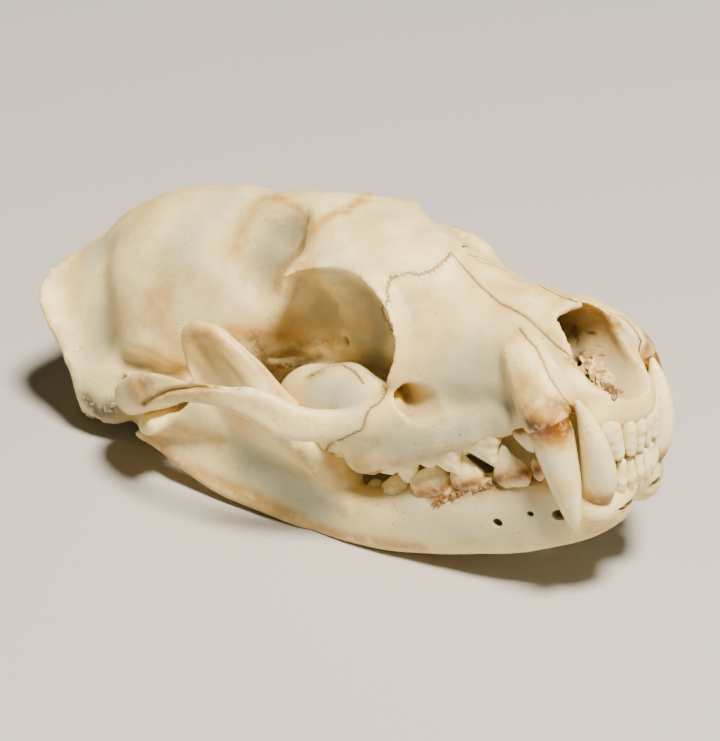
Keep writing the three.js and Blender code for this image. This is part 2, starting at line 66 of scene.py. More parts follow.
MM = 0.001
NOSE_UP_DEG = 15.4
REST_HEIGHT = 30.1
MIDDLE = 54.516  # from the front of the jaw to the middle of the length, as it stands
TABLE_GAP = 0.04
SENSOR_MM = 36.0
IMAGE = (720, 741)

TO_TABLE = (
    Matrix.Scale(MM, 4)
    @ Matrix.Translation((0.0, -MIDDLE, REST_HEIGHT))
    @ Matrix.Rotation(math.radians(-NOSE_UP_DEG), 4, "X")
)


class Side(IntEnum):
    """The two sides of the animal, as the sign of X on that side."""

    LEFT = 1
    RIGHT = -1


class Tint(str, Enum):
    """Colour and wear marks, and painted shade, that a mesh carries from corner to corner."""

    SEAM = "seam"
    TAN = "tan"
    BROWN = "brown"
    COOL = "cool"
    # painted shade inside holes and deep inside the nose
    DARK = "dark"
    ROUGH = "rough"
    # painted shade in hollows and creases
    SHADE = "shade"


def eased(share: np.ndarray) -> np.ndarray:
    """Bends a share from 0 to 1 so that it starts and ends softly."""
    return share * share * (3 - 2 * share)


# A line of the picture with two numbers, such as its half width and height.
Stroke = tuple[Path, float, float]

# A stain or wear mark: what it is, its line in the picture, its half width and its strength.
Mark = tuple[Tint, Path, float, float]


# Looking at the skull


@dataclass(frozen=True)
class Look:
    """The place that the skull is seen from, in the skull's own frame."""

    place: Point = (-315.70, -246.73, 174.07)
    right: Point = (0.606, -0.767, -0.211)
    up: Point = (0.414, 0.078, 0.907)
    focal: float = 3000.0
    centre: Pixel = (383.94, 367.68)

    def axes(self) -> tuple[Vector, Vector, Vector]:
        """Returns the exact right, up and forward directions of the view."""
        right = Vector(self.right).normalized()
        up = Vector(self.up)
        up = (up - right * up.dot(right)).normalized()
        return right, up, up.cross(right)

    def ray(self, x: float, y: float) -> Vector:
        """Returns the direction in which a place of the picture is seen."""
        right, up, ahead = self.axes()
        aside = (x - self.centre[0]) / self.focal
        rise = -(y - self.centre[1]) / self.focal
        return (ahead + right * aside + up * rise).normalized()

    def spot(self, tree: BVHTree, x: float, y: float, depth: int = 0) -> Point | None:
        """Finds the place on a surface that is seen at a place of the picture.

        Args:
            tree: The surface.
            x: Distance from the picture's left side.
            y: Distance from its top.
            depth: How many nearer surfaces are looked through.

        Returns:
            The place on the surface, or None where the view passes it.
        """
        start, way = Vector(self.place), self.ray(x, y)
        for _ in range(depth + 1):
            found = tree.ray_cast(start, way)[0]
            if found is None:
                return None
            start = found + way * 0.05
        return tuple(found)

    def camera(self) -> bpy.types.Object:
        """Returns the scene's camera, aimed at the picture's middle."""
        ahead = self.ray(IMAGE[0] / 2, IMAGE[1] / 2)
        up = Vector(self.up)
        right = ahead.cross(up - ahead * up.dot(ahead)).normalized()
        top = right.cross(ahead)
        turn = TO_TABLE.to_3x3().normalized()
        basis = Matrix((turn @ right, turn @ top, turn @ -ahead)).transposed()
        lens = bpy.data.cameras.new("view")
        lens.sensor_fit = "VERTICAL"
        lens.sensor_height = SENSOR_MM
        lens.lens = self.focal * SENSOR_MM / IMAGE[1]
        lens.clip_start = 0.01
        camera = bpy.data.objects.new("view", lens)
        camera.matrix_world = Matrix.Translation(TO_TABLE @ Vector(self.place)) @ basis.to_4x4()
        bpy.context.scene.collection.objects.link(camera)
        bpy.context.scene.camera = camera
        return camera


LOOK = Look()


# Working: start shapes, joining, carving and smoothing


def pick(*objects: bpy.types.Object) -> None:
    """Selects these objects alone and makes the first the active one."""
    bpy.ops.object.select_all(action="DESELECT")
    for one in objects:
        one.select_set(True)
    bpy.context.view_layer.objects.active = objects[0]


def finish_with(obj: bpy.types.Object, kind: str, **settings: object) -> bpy.types.Object:
    """Adds one modifier with these settings to the object and applies it."""
    pick(obj)
    modifier = obj.modifiers.new(kind.lower(), kind)
    for name, value in settings.items():
        setattr(modifier, name, value)
    bpy.ops.object.modifier_apply(modifier=modifier.name)
    return obj


def through(rows: np.ndarray, key: np.ndarray) -> np.ndarray:
    """Reads smooth values between the rows of a table.

    Args:
        rows: The table, one station in each row.
        key: Row numbers, which may lie between two rows.

    Returns:
        One row of values for each number in key.
    """
    first = 2 * rows[0] - rows[1]
    last = 2 * rows[-1] - rows[-2]
    full = np.vstack([first, rows, last])
    at = np.clip(key, 0, len(rows) - 1)
    low = np.minimum(at.astype(int), len(rows) - 2)
    t = (at - low)[:, None]
    a, b, c, d = (full[low + step] for step in range(4))
    return 0.5 * (2 * b + (c - a) * t + (2 * a - 5 * b + 4 * c - d) * t**2
                  + (3 * b - a - 3 * c + d) * t**3)


def ball(rings: int, around: int) -> tuple[bpy.types.Object, np.ndarray, np.ndarray]:
    """Adds a sphere to shape, and says where each of its corners lies on it.

    Args:
        rings: Rings from pole to pole.
        around: Corners round each ring.

    Returns:
        The sphere, the share of the way from pole to pole, and the angle round it.
    """
    bpy.ops.object.select_all(action="DESELECT")
    bpy.ops.mesh.primitive_uv_sphere_add(segments=around, ring_count=rings, radius=1)
    obj = bpy.context.active_object
    spots = corners(obj)
    share = np.arccos(np.clip(-spots[:, 2], -1, 1)) / math.pi
    return obj, share, np.arctan2(spots[:, 1], spots[:, 0])


def corners(obj: bpy.types.Object) -> np.ndarray:
    """Returns the mesh's corners as one array."""
    spots = np.zeros(len(obj.data.vertices) * 3)
    obj.data.vertices.foreach_get("co", spots)
    return spots.reshape(-1, 3)


def put(obj: bpy.types.Object, spots: np.ndarray) -> bpy.types.Object:
    """Moves the mesh's corners to these places."""
    obj.data.vertices.foreach_set("co", spots.ravel())
    obj.data.update()
    return obj


def outward(obj: bpy.types.Object) -> bpy.types.Object:
    """Turns the faces of a closed mesh outwards."""
    pick(obj)
    bpy.ops.object.mode_set(mode="EDIT")
    bpy.ops.mesh.select_all(action="SELECT")
    bpy.ops.mesh.normals_make_consistent(inside=False)
    bpy.ops.object.mode_set(mode="OBJECT")
    return obj


def full_row(row: Row) -> Row:
    """Completes a station: the height below is as above, and the section is an ellipse."""
    sized = row if len(row) > 5 else (*row, row[4])
    return (*sized, *(2.0,) * (8 - len(sized)))


def skinned(
    rows: Sequence[Row], side: int = Side.LEFT, up: Point = (0, 0, 1), end: float = 0.1,
    rings: int = 40, around: int = 40,
) -> bpy.types.Object:
    """Draws a sphere out along a path, through a section at each station.

    Args:
        rows: Stations: x, y, z, half width, height above and below the path, and the
            roundness above and below it, where 2 is an ellipse and more is a box.
        side: Side.LEFT, or Side.RIGHT for a copy on the other side.
        up: The way up that the sections keep to.
        end: The share of the length over which each end closes.
        rings: Rings of corners.
        around: Corners round each ring.

    Returns:
        The new object.
    """
    obj, share, turn = ball(rings, around)
    table = np.array([full_row(row) for row in rows])
    along = share * 0.5 + 0.25 * (1 - np.cos(math.pi * share))
    edge = np.clip(np.minimum(along, 1 - along) / end, 0, 1)
    close = np.sqrt(1 - (1 - edge) ** 2)
    key = along * (len(table) - 1)
    row = through(table, key)
    ahead = through(table, key + 0.01)[:, :3] - through(table, key - 0.01)[:, :3]
    ahead /= np.linalg.norm(ahead, axis=1, keepdims=True)
    aside = np.cross(ahead, np.array(up, float))
    aside /= np.linalg.norm(aside, axis=1, keepdims=True)
    top = np.cross(aside, ahead)
    across, lift = np.cos(turn), np.sin(turn)
    power = 2 / np.where(lift > 0, row[:, 6], row[:, 7])
    reach = row[:, 3] * close * np.sign(across) * np.abs(across) ** power
    high = np.where(lift > 0, row[:, 4], row[:, 5])
    rise = high * close * np.sign(lift) * np.abs(lift) ** power
    spots = row[:, :3] + aside * reach[:, None] + top * rise[:, None]
    spots[:, 0] *= side
    return outward(put(obj, spots))


def disc(
    rim: Line, centre: Point, normal: Point, profile: Path,
    side: int = Side.LEFT, rings: int = 30, around: int = 120,
) -> bpy.types.Object:
    """Draws a sphere out to a plate with the given rim.

    Args:
        rim: Places on the rim, in order.
        centre: The plate's centre.
        normal: The way its front faces.
        profile: Share of the way to the rim, and offset along the normal, from the middle of
            the front, round the rim, to the middle of the back.
        side: Side.LEFT, or Side.RIGHT for a copy on the other side.
        rings: Rings of corners.
        around: Corners round each ring.

    Returns:
        The new object.
    """
    obj, share, turn = ball(rings, around)
    ring = np.array(rim, float)
    loop = np.vstack([ring[-2:], ring, ring[:3]])
    fine = through(loop, np.linspace(2, 2 + len(ring), 20 * len(ring) + 1))
    length = np.r_[0, np.cumsum(np.linalg.norm(np.diff(fine, axis=0), axis=1))]
    want = (turn / (2 * math.pi)) % 1 * length[-1]
    edge = np.stack([np.interp(want, length, fine[:, axis]) for axis in range(3)], 1)
    steps = through(np.array(profile, float), share * (len(profile) - 1))
    middle = np.array(centre, float)
    facing = np.array(normal, float) / np.linalg.norm(normal)
    spots = middle + (edge - middle) * steps[:, :1] + facing * steps[:, 1:]
    spots[:, 0] *= side
    return outward(put(obj, spots))


def egg(
    at: Point, size: Point, side: int = Side.LEFT, tilt: float = 0.0, spin: float = 0.0,
    rings: int = 24, around: int = 32,
) -> bpy.types.Object:
    """Draws a sphere out to an egg.

    Args:
        at: Its middle.
        size: Half its width, length and height.
        side: Side.LEFT, or Side.RIGHT for a copy on the other side.
        tilt: Turn about X in degrees.
        spin: Turn about Z in degrees.
        rings: Rings of corners.
        around: Corners round each ring.

    Returns:
        The new object.
    """
    obj = ball(rings, around)[0]
    turn = Matrix.Rotation(math.radians(spin), 3, "Z") @ Matrix.Rotation(math.radians(tilt), 3, "X")
    spots = corners(obj) * np.array(size) @ np.array(turn).T + np.array(at)
    spots[:, 0] *= side
    return outward(put(obj, spots))


def both(make: Callable[[int], bpy.types.Object]) -> list[bpy.types.Object]:
    """Returns what make gives for the left and for the right."""
    return [make(side) for side in Side]


def fused(name: str, pieces: Iterable[bpy.types.Object], grain: float) -> bpy.types.Object:
    """Joins pieces and gives them one even skin.

    Args:
        name: The new name.
        pieces: What is joined.
        grain: Length of the new faces' sides.

    Returns:
        The joined object.
    """
    pick(*pieces)
    if len(bpy.context.selected_objects) > 1:
        bpy.ops.object.join()
    obj = bpy.context.active_object
    obj.name = obj.data.name = name
    return finish_with(obj, "REMESH", mode="VOXEL", voxel_size=grain, adaptivity=0.0)


def carved(obj: bpy.types.Object, cutter: bpy.types.Object) -> bpy.types.Object:
    """Cuts one object out of another."""
    finish_with(obj, "BOOLEAN", operation="DIFFERENCE", object=cutter, solver="MANIFOLD")
    bpy.data.objects.remove(cutter)
    return obj


def blade(outline: Line, depth: Point) -> bpy.types.Object:
    """Draws out a flat outline to a closed cutter.

    Args:
        outline: Places round it, in order, in one plane.
        depth: How far and which way it is drawn out.

    Returns:
        The new object.
    """
    bpy.ops.object.select_all(action="DESELECT")
    bpy.ops.mesh.primitive_circle_add(vertices=len(outline), radius=1, fill_type="NGON")
    obj = bpy.context.active_object
    put(obj, np.array(outline, float))
    bpy.ops.object.mode_set(mode="EDIT")
    bpy.ops.mesh.select_all(action="SELECT")
    bpy.ops.mesh.extrude_region_move(TRANSFORM_OT_translate={"value": depth})
    bpy.ops.object.mode_set(mode="OBJECT")
    return outward(obj)


WIDE_PUSH = 2.5  # a push wider than this follows the general way of the surface
WIDE_ROUNDS = 10


@dataclass
class Clay:
    """A mesh that is pushed, pulled, relaxed and painted."""

    obj: bpy.types.Object
    spots: np.ndarray = field(init=False)
    tints: dict[Tint, np.ndarray] = field(init=False)

    def __post_init__(self) -> None:
        """Reads the mesh."""
        self.reread()

    def reread(self) -> None:
        """Reads the mesh again after its faces have changed."""
        self.spots = corners(self.obj)
        self.tints = {tint: np.zeros(len(self.spots)) for tint in Tint}
        edges = np.zeros(len(self.obj.data.edges) * 2, int)
        self.obj.data.edges.foreach_get("vertices", edges)
        self.edges = edges.reshape(-1, 2)
        self.degree = np.bincount(edges, minlength=len(self.spots)).clip(1)

    def tree(self) -> BVHTree:
        """Returns the present surface for finding places on it."""
        self.write()
        faces = [tuple(face.vertices) for face in self.obj.data.polygons]
        return BVHTree.FromPolygons(self.spots.tolist(), faces)

    def normals(self) -> np.ndarray:
        """Returns the way that each corner faces."""
        self.write()
        ways = np.zeros(len(self.spots) * 3, np.float32)
        self.obj.data.vertex_normals.foreach_get("vector", ways)
        return ways.reshape(-1, 3).astype(float)

    def write(self) -> None:
        """Puts the corners back into the mesh."""
        put(self.obj, self.spots)

    def mean(self, values: np.ndarray) -> np.ndarray:
        """Returns the mean of each corner's neighbours."""
        a, b = self.edges.T
        out = np.empty_like(values)
        for axis in range(values.shape[1]):
            column = values[:, axis]
            total = np.bincount(a, column[b], len(values)) + np.bincount(b, column[a], len(values))
            out[:, axis] = total / self.degree
        return out

    def relax(self, times: int, weight: np.ndarray | float = 1.0) -> None:
        """Smooths the surface and keeps most of its size.

        Args:
            times: Rounds of smoothing.
            weight: Share of it at each corner.
        """
        part = np.reshape(weight, (-1, 1)) if isinstance(weight, np.ndarray) else weight
        for _ in range(times):
            for pull in (0.6, -0.615):
                self.spots += (self.mean(self.spots) - self.spots) * pull * part

    def melt(self, times: int, weight: np.ndarray | float = 1.0) -> None:
        """Smooths the surface so that junctions fill out, as relax() but stronger."""
        part = np.reshape(weight, (-1, 1)) if isinstance(weight, np.ndarray) else weight
        for _ in range(times):
            self.spots += (self.mean(self.spots) - self.spots) * 0.5 * part

    def reach(self, path: Line, radius: float) -> np.ndarray:
        """Measures how close each corner is to a line.

        Args:
            path: The line's points, or one point.
            radius: Beyond this a corner isn't reached.

        Returns:
            From 1 on the line down to 0 at the radius.
        """
        line = np.array(path, float).reshape(-1, 3)
        if len(line) == 1:
            line = np.vstack([line, line])
        best = np.full(len(self.spots), radius)
        for start, stop in zip(line[:-1], line[1:]):
            low = np.minimum(start, stop) - radius
            high = np.maximum(start, stop) + radius
            near = np.flatnonzero(np.all((self.spots > low) & (self.spots < high), axis=1))
            if not len(near):
                continue
            way = stop - start
            offset = self.spots[near] - start
            part = np.clip(offset @ way / max(way @ way, 1e-9), 0, 1)
            gap = np.linalg.norm(offset - part[:, None] * way, axis=1)
            best[near] = np.minimum(best[near], gap)
        return 1 - best / radius

    def near(self, path: Line, radius: float) -> np.ndarray:
        """Measures as reach() does, on both sides of the skull."""
        mirrored = [(-x, y, z) for x, y, z in path]
        return np.maximum(self.reach(path, radius), self.reach(mirrored, radius))

    def push(
        self, path: Line, radius: float, height: float, way: Point | None = None, sides: int = 2,
    ) -> None:
        """Raises or sinks the surface along a line, on both sides of the skull.

        Args:
            path: The line's points, or one point.
            radius: Half the width of what is moved.
            height: How far out, or in where it is less than zero.
            way: The way that it is moved, or None for the way that the surface faces.
            sides: 1 for the side that the path is drawn on, 2 for both.
        """
        for mirror in (1, -1)[:sides]:
            line = np.array(path, float).reshape(-1, 3) * (mirror, 1, 1)
            fade = eased(self.reach(line, radius))
            if way is None:
                move = self.normals()
                for _ in range(WIDE_ROUNDS if radius > WIDE_PUSH else 0):
                    move = self.mean(move)
            else:
                move = np.array(way, float) * (mirror, 1, 1)
            self.spots += move * (fade * height)[:, None]

    def tint(
        self, mark: Tint, path: Line, radius: float, value: float = 1.0,
        sides: int = 1,
    ) -> None:
        """Paints a mark along a line.

        Args:
            mark: What is painted.
            path: The line's points, or one point.
            radius: Half its width.
            value: Its strength on the line.
            sides: 1 for the side that the path is drawn on, 2 for both.
        """
        for mirror in (1, -1)[:sides]:
            line = np.array(path, float).reshape(-1, 3) * (mirror, 1, 1)
            self.deepen(mark, eased(self.reach(line, radius)) * value)

    def deepen(self, mark: Tint, values: np.ndarray) -> None:
        """Adds to a mark where it is weaker than these values."""
        self.tints[mark] = np.maximum(self.tints[mark], values)

    def hollows(self, times: int, depth: float) -> np.ndarray:
        """Returns how hollow the surface is at each corner.

        Args:
            times: Rounds of smoothing, which set how wide a hollow is looked for.
            depth: The depth that counts as 1.
        """
        ways, even = self.normals(), self.spots
        for _ in range(times):
            even = even + (self.mean(even) - even) * 0.7
        return np.clip(((even - self.spots) * ways).sum(axis=1) / depth, 0, 1)

    def stand(self) -> None:
        """Files flat what would reach under the table top."""
        turn = math.radians(NOSE_UP_DEG)
        up = np.array([0, -math.sin(turn), math.cos(turn)])
        low = TABLE_GAP - (self.spots @ up + REST_HEIGHT)
        self.spots += np.maximum(low, 0)[:, None] * up

    def seen(self, path: Path, depth: int = 0) -> list[Point]:
        """Returns the places on the surface that are seen at these places of the picture."""
        tree = self.tree()
        found = [LOOK.spot(tree, x, y, depth) for x, y in path]
        return [spot for spot in found if spot is not None]

    def rumple(self, size: float, height: float, weight: np.ndarray | float = 1.0,
               shift: float = 0.0) -> None:
        """Makes the surface uneven.

        Args:
            size: Width of the bumps.
            height: How far they rise and sink.
            weight: Share of it at each corner.
            shift: Moves the pattern, so that two pieces differ.
        """
        start = Vector((shift, 2 * shift, 0))
        bumps = np.array([noise.noise(Vector(spot) / size + start) for spot in self.spots])
        self.spots += self.normals() * (bumps * height * weight)[:, None]

    def refine(self, lines: Sequence[Line], radius: float) -> None:
        """Divides the faces near these lines, so that fine grooves can be cut there."""
        near = np.zeros(len(self.spots), bool)
        for line in lines:
            near |= self.reach(line, radius) > 0
        self.write()
        pick(self.obj)
        mesh = self.obj.data
        mesh.polygons.foreach_set("select", np.zeros(len(mesh.polygons), bool))
        mesh.edges.foreach_set("select", near[self.edges].all(axis=1))
        mesh.vertices.foreach_set("select", near)
        bpy.ops.object.mode_set(mode="EDIT")
        bpy.ops.mesh.select_mode(type="EDGE")
        bpy.ops.mesh.subdivide(number_cuts=1, smoothness=0.0)
        bpy.ops.mesh.select_all(action="SELECT")
        bpy.ops.mesh.quads_convert_to_tris(quad_method="BEAUTY", ngon_method="BEAUTY")
        bpy.ops.mesh.select_mode(type="VERT")
        bpy.ops.object.mode_set(mode="OBJECT")
        self.reread()

    def thin(self, triangles: int) -> None:
        """Merges faces where the surface is plain, down to this number of triangles."""
        self.write()
        have = sum(len(face.vertices) - 2 for face in self.obj.data.polygons)
        if have > triangles:
            finish_with(self.obj, "DECIMATE", ratio=triangles / have, use_collapse_triangulate=True)
        self.reread()

    def store(self) -> None:
        """Keeps the painted marks in the mesh."""
        self.write()
        for mark, values in self.tints.items():
            layer = self.obj.data.attributes.new(mark.value, "FLOAT", "POINT")
            layer.data.foreach_set("value", np.clip(values, 0, 1).astype(np.float32))


def jagged(path: Path, step: float, height: float, seed: int) -> list[Pixel]:
    """Turns a drawn line to the zigzag of a seam between bones.

    Args:
        path: Places of the picture along the line.
        step: Distance between two places of the new line.
        height: How far it strays to each side.
        seed: Start of the random numbers.

    Returns:
        The new line.
    """
    draw = np.random.default_rng(seed)
    line = np.array(path, float)
    length = np.r_[0, np.cumsum(np.linalg.norm(np.diff(line, axis=0), axis=1))]
    at = np.arange(0, length[-1], step)
    spots = np.stack([np.interp(at, length, line[:, axis]) for axis in (0, 1)], 1)
    ways = np.gradient(spots, axis=0)
    ways /= np.linalg.norm(ways, axis=1, keepdims=True) + 1e-9
    stray = draw.uniform(0.3, 1, len(at)) * np.where(np.arange(len(at)) % 2, 1, -1) * height
    spots += np.stack([-ways[:, 1], ways[:, 0]], 1) * stray[:, None]
    return [tuple(spot) for spot in spots]


def unbroken(line: Line, longest: float = 2.0) -> list[list[Point]]:
    """Parts a line where it jumps from one surface to another."""
    parts: list[list[Point]] = [[]]
    for spot in line:
        if parts[-1] and math.dist(parts[-1][-1], spot) > longest:
            parts.append([])
        parts[-1].append(spot)
    return [part for part in parts if len(part) > 1]


def settled(obj: bpy.types.Object, replaced: Sequence[str] = ()) -> bpy.types.Object:
    """Brings a finished piece to its place on the table and to the frame.

    Args:
        obj: The piece, in the skull's own frame.
        replaced: The plain solids that it stands for.

    Returns:
        The piece.
    """
    obj.data.transform(TO_TABLE)
    obj.data.update()
    pick(obj)
    bpy.ops.object.shade_smooth()
    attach(obj, "root")
    if replaced:
        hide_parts(*replaced)
    faces = sum(len(face.vertices) - 2 for face in obj.data.polygons)
    log.info("%s: %d triangles", obj.name, faces)
    return obj


# Finishes


def linear(code: str) -> tuple[float, float, float, float]:
    """Turns an sRGB hex colour to the linear values that a shader reads."""
    parts = (int(code[at:at + 2], 16) / 255 for at in (1, 3, 5))
    return (*(c / 12.92 if c <= 0.04045 else ((c + 0.055) / 1.055) ** 2.4 for c in parts), 1.0)


def add(tree: bpy.types.NodeTree, kind: str, inputs: dict | None = None, **settings: object
        ) -> bpy.types.Node:
    """Adds one node.

    Args:
        tree: The material's node tree.
        kind: The node's type, without the words ShaderNode in front.
        inputs: For each of its sockets a value, or another node's socket to link.
        settings: Its own settings.

    Returns:
        The node.
    """
    made = tree.nodes.new(f"ShaderNode{kind}")
    for name, value in settings.items():
        setattr(made, name, value)
    for name, value in (inputs or {}).items():
        if isinstance(value, bpy.types.NodeSocket):
            tree.links.new(value, made.inputs[name])
        else:
            made.inputs[name].default_value = value
    return made


def ramp(tree: bpy.types.NodeTree, value: bpy.types.NodeSocket, low: float, high: float,
         ) -> bpy.types.NodeSocket:
    """Stretches the values between low and high to the range from 0 to 1."""
    made = add(tree, "MapRange", {"Value": value, "From Min": low, "From Max": high},
               interpolation_type="SMOOTHSTEP")
    return made.outputs["Result"]


def product(tree: bpy.types.NodeTree, first: bpy.types.NodeSocket,
            second: bpy.types.NodeSocket | float) -> bpy.types.NodeSocket:
    """Multiplies two values."""
    return add(tree, "Math", {0: first, 1: second}, operation="MULTIPLY").outputs[0]


def blend(tree: bpy.types.NodeTree, share: bpy.types.NodeSocket | float,
          under: bpy.types.NodeSocket | tuple, over: bpy.types.NodeSocket | tuple,
          way: str = "MIX") -> bpy.types.NodeSocket:
    """Lays one colour over another."""
    made = add(tree, "Mix", data_type="RGBA", blend_type=way)
    for socket, value in (("Factor_Float", share), ("A_Color", under), ("B_Color", over)):
        target = next(s for s in made.inputs if s.identifier == socket)
        if isinstance(value, bpy.types.NodeSocket):
            tree.links.new(value, target)
        else:
            target.default_value = value
    return next(s for s in made.outputs if s.identifier == "Result_Color")


HOLE_SHADE_COLOUR = "#2a1a10"  # painted shade inside holes
SPECK_MM = 0.45
SPECK_FIELD_MM = 6.0
PIT_MM = 0.5


@dataclass(frozen=True)
class Finish:
    """A finish of this skull: its colours, its shine and the sizes of its patterns.

    Attributes:
        name: The real material.
        light, deep, cool: The clean surface, its darker patches and its bluish patches.
        tan, brown, seam, shade: Weak stain, strong stain, seam lines and painted shade in hollows.
        roughness, ior, glow: Shine, refraction and the share of light that enters.
        patch_mm, grain_mm, relief_mm: Width of patches and of grain, and height of grain.
    """

    name: str
    light: str
    deep: str
    cool: str
    tan: str
    brown: str
    seam: str
    shade: str
    roughness: float
    ior: float
    glow: float
    patch_mm: float
    grain_mm: float
    relief_mm: float

    def texture(self, tree: bpy.types.NodeTree, size_mm: float, detail: float = 4.0,
                rough: float = 0.55) -> bpy.types.NodeSocket:
        """Returns clouds of about this size, fixed to the skull."""
        where = add(tree, "TexCoord").outputs["Object"]
        noise_node = add(tree, "TexNoise", {
            "Vector": where, "Scale": 1 / (size_mm * MM), "Detail": detail, "Roughness": rough,
        })
        return noise_node.outputs["Fac"]

    def mark(self, tree: bpy.types.NodeTree, tint: Tint) -> bpy.types.NodeSocket:
        """Returns a mark that the mesh carries."""
        return add(tree, "Attribute", attribute_name=tint.value).outputs["Fac"]

    def patches(self, tree: bpy.types.NodeTree, size_mm: float, low: float, high: float,
                *kind: float) -> bpy.types.NodeSocket:
        """Returns where clouds of this size are strong, from 0 at low to 1 at high."""
        return ramp(tree, self.texture(tree, size_mm, *kind), low, high)

    def layers(self, tree: bpy.types.NodeTree) -> list[tuple[bpy.types.NodeSocket, str]]:
        """Returns what lies over the clean surface, from below up: its share and its colour."""
        wide, fine = self.patch_mm, self.grain_mm
        cold = self.patches(tree, wide * 1.6, 0.52, 0.72, 3.0)
        mottle = self.patches(tree, wide * 0.25, 0.45, 0.75, 5.0, 0.7)
        broken = self.patches(tree, fine * 3, 0.22, 0.56)
        fleck = self.patches(tree, fine, 0.24, 0.54)
        specks = product(tree, self.patches(tree, SPECK_MM, 0.66, 0.74, 1.0),
                         self.patches(tree, SPECK_FIELD_MM, 0.5, 0.62, 2.0))
        return [
            (self.patches(tree, wide, 0.35, 0.68), self.deep),
            (product(tree, cold, 0.75), self.cool),
            (product(tree, mottle, 0.5), self.deep),
            (self.mark(tree, Tint.COOL), self.cool),
            (product(tree, self.mark(tree, Tint.TAN), broken), self.tan),
            (product(tree, self.mark(tree, Tint.BROWN), fleck), self.brown),
            # painted shade in hollows
            (product(tree, self.mark(tree, Tint.SHADE), 0.62), self.shade),
            (product(tree, specks, 0.55), self.brown),
            # painted shade inside holes
            (self.mark(tree, Tint.DARK), HOLE_SHADE_COLOUR),
            (self.mark(tree, Tint.SEAM), self.seam),
        ]

    def colour(self, tree: bpy.types.NodeTree) -> bpy.types.NodeSocket | tuple:
        """Returns the surface colour with all its layers."""
        base: bpy.types.NodeSocket | tuple = linear(self.light)
        for share, code in self.layers(tree):
            base = blend(tree, share, base, linear(code))
        return base

    def relief(self, tree: bpy.types.NodeTree) -> bpy.types.NodeSocket:
        """Returns the fine unevenness of the surface."""
        fine = self.texture(tree, self.grain_mm, 5.0, 0.6)
        extra = product(tree, self.mark(tree, Tint.ROUGH), self.texture(tree, PIT_MM, 3.0, 0.7))
        total = add(tree, "Math", {0: fine, 1: product(tree, extra, 2.5)}, operation="ADD")
        bump = add(tree, "Bump", {
            "Height": total.outputs[0], "Distance": self.relief_mm * MM, "Strength": 0.6,
        })
        return bump.outputs["Normal"]

    def material(self) -> bpy.types.Material:
        """Returns the material, made once."""
        made = bpy.data.materials.get(self.name)
        if made:
            return made
        made = bpy.data.materials.new(self.name)
        made.use_nodes = True
        tree = made.node_tree
        shader = tree.nodes["Principled BSDF"]
        tree.links.new(self.colour(tree), shader.inputs["Base Color"])
        tree.links.new(self.relief(tree), shader.inputs["Normal"])
        shader.inputs["Roughness"].default_value = self.roughness
        shader.inputs["IOR"].default_value = self.ior
        shader.inputs["Subsurface Weight"].default_value = self.glow
        shader.inputs["Subsurface Radius"].default_value = (1.0, 0.62, 0.35)
        shader.inputs["Subsurface Scale"].default_value = 1.2 * MM
        return made


# Dry bone: cleaned and dried, so matt to satin, with a cream body that lets a little light in,
# bluish where it is dense, tan and brown where fat and soil have stained it.
BONE = Finish(
    "dry_bone",
    light="#f7e2a0", deep="#dfc27a", cool="#b6b799", tan="#ba8a3a",
    brown="#573610", seam="#241508", shade="#7a6a50",
    roughness=0.46, ior=1.54, glow=0.05,
    patch_mm=9.0, grain_mm=0.8, relief_mm=0.12,
)

# Thin bone inside the nose: papery, golden and dusty.
SCROLL = Finish(
    "papery_nose_bone",
    light="#d8c182", deep="#a98c4e", cool="#8c8468", tan="#8a6430",
    brown="#4a3014", seam="#2a1a0a", shade="#3c2c18",
    roughness=0.55, ior=1.5, glow=0.1,
    patch_mm=1.5, grain_mm=0.3, relief_mm=0.05,
)

# Dried gum and tartar at the necks of the teeth: brown, crusty, dull with glossy grains.
DRIED_GUM = Finish(
    "dried_gum",
    light="#94703c", deep="#5e3d1a", cool="#8a7a5c", tan="#7c5424",
    brown="#3c2410", seam="#22140a", shade="#2e1c0c",
    roughness=0.5, ior=1.5, glow=0.05,
    patch_mm=1.2, grain_mm=0.3, relief_mm=0.08,
)

# Tooth enamel: smooth and a little glossy, cream to yellow at the neck, with stain at the gum.
ENAMEL = Finish(
    "tooth_enamel",
    light="#faecb6", deep="#ecd48c", cool="#e0dcb8", tan="#c08a2c",
    brown="#6b3c0c", seam="#2c1a0a", shade="#8a6832",
    roughness=0.24, ior=1.62, glow=0.08,
    patch_mm=5.0, grain_mm=1.2, relief_mm=0.04,
)


WARM_WHITE = "#fff4e2"


@dataclass
class Studio:
    """The pale table top and the soft lights."""

    floor_size: float = 3.0

    def build(self) -> None:
        """Adds the floor, the lights and the even surrounding light."""
        bpy.ops.object.select_all(action="DESELECT")
        bpy.ops.mesh.primitive_plane_add(size=self.floor_size)
        floor = bpy.context.active_object
        floor.name = "table_top"
        paint = bpy.data.materials.new("pale_floor")
        paint.use_nodes = True
        shader = paint.node_tree.nodes["Principled BSDF"]
        shader.inputs["Base Color"].default_value = linear("#b4b2ac")
        shader.inputs["Roughness"].default_value = 0.7
        floor.data.materials.append(paint)
        self.lamp("key", (-0.14, -0.36, 0.9), 0.22, 33.0)
        self.lamp("fill", (-0.8, -0.35, 0.25), 0.5, 0.35)
        self.lamp("front", (0.3, -0.75, 0.4), 0.3, 1.1)
        world = bpy.data.worlds.new("studio")
        bpy.context.scene.world = world
        world.use_nodes = True
        world.node_tree.nodes["Background"].inputs["Color"].default_value = linear("#e8eaee")
        world.node_tree.nodes["Background"].inputs["Strength"].default_value = 0.04

    def lamp(self, name: str, place: Point, size: float, power: float) -> None:
        """Adds one soft light that points at the skull."""
        light = bpy.data.lights.new(name, "AREA")
        light.shape = "DISK"
        light.size = size
        light.energy = power
        light.color = linear(WARM_WHITE)[:3]
        holder = bpy.data.objects.new(name, light)
        bpy.context.scene.collection.objects.link(holder)
        holder.location = place
        aim = Vector((0, 0, 0.02)) - Vector(place)
        holder.rotation_euler = aim.to_track_quat("-Z", "Y").to_euler()


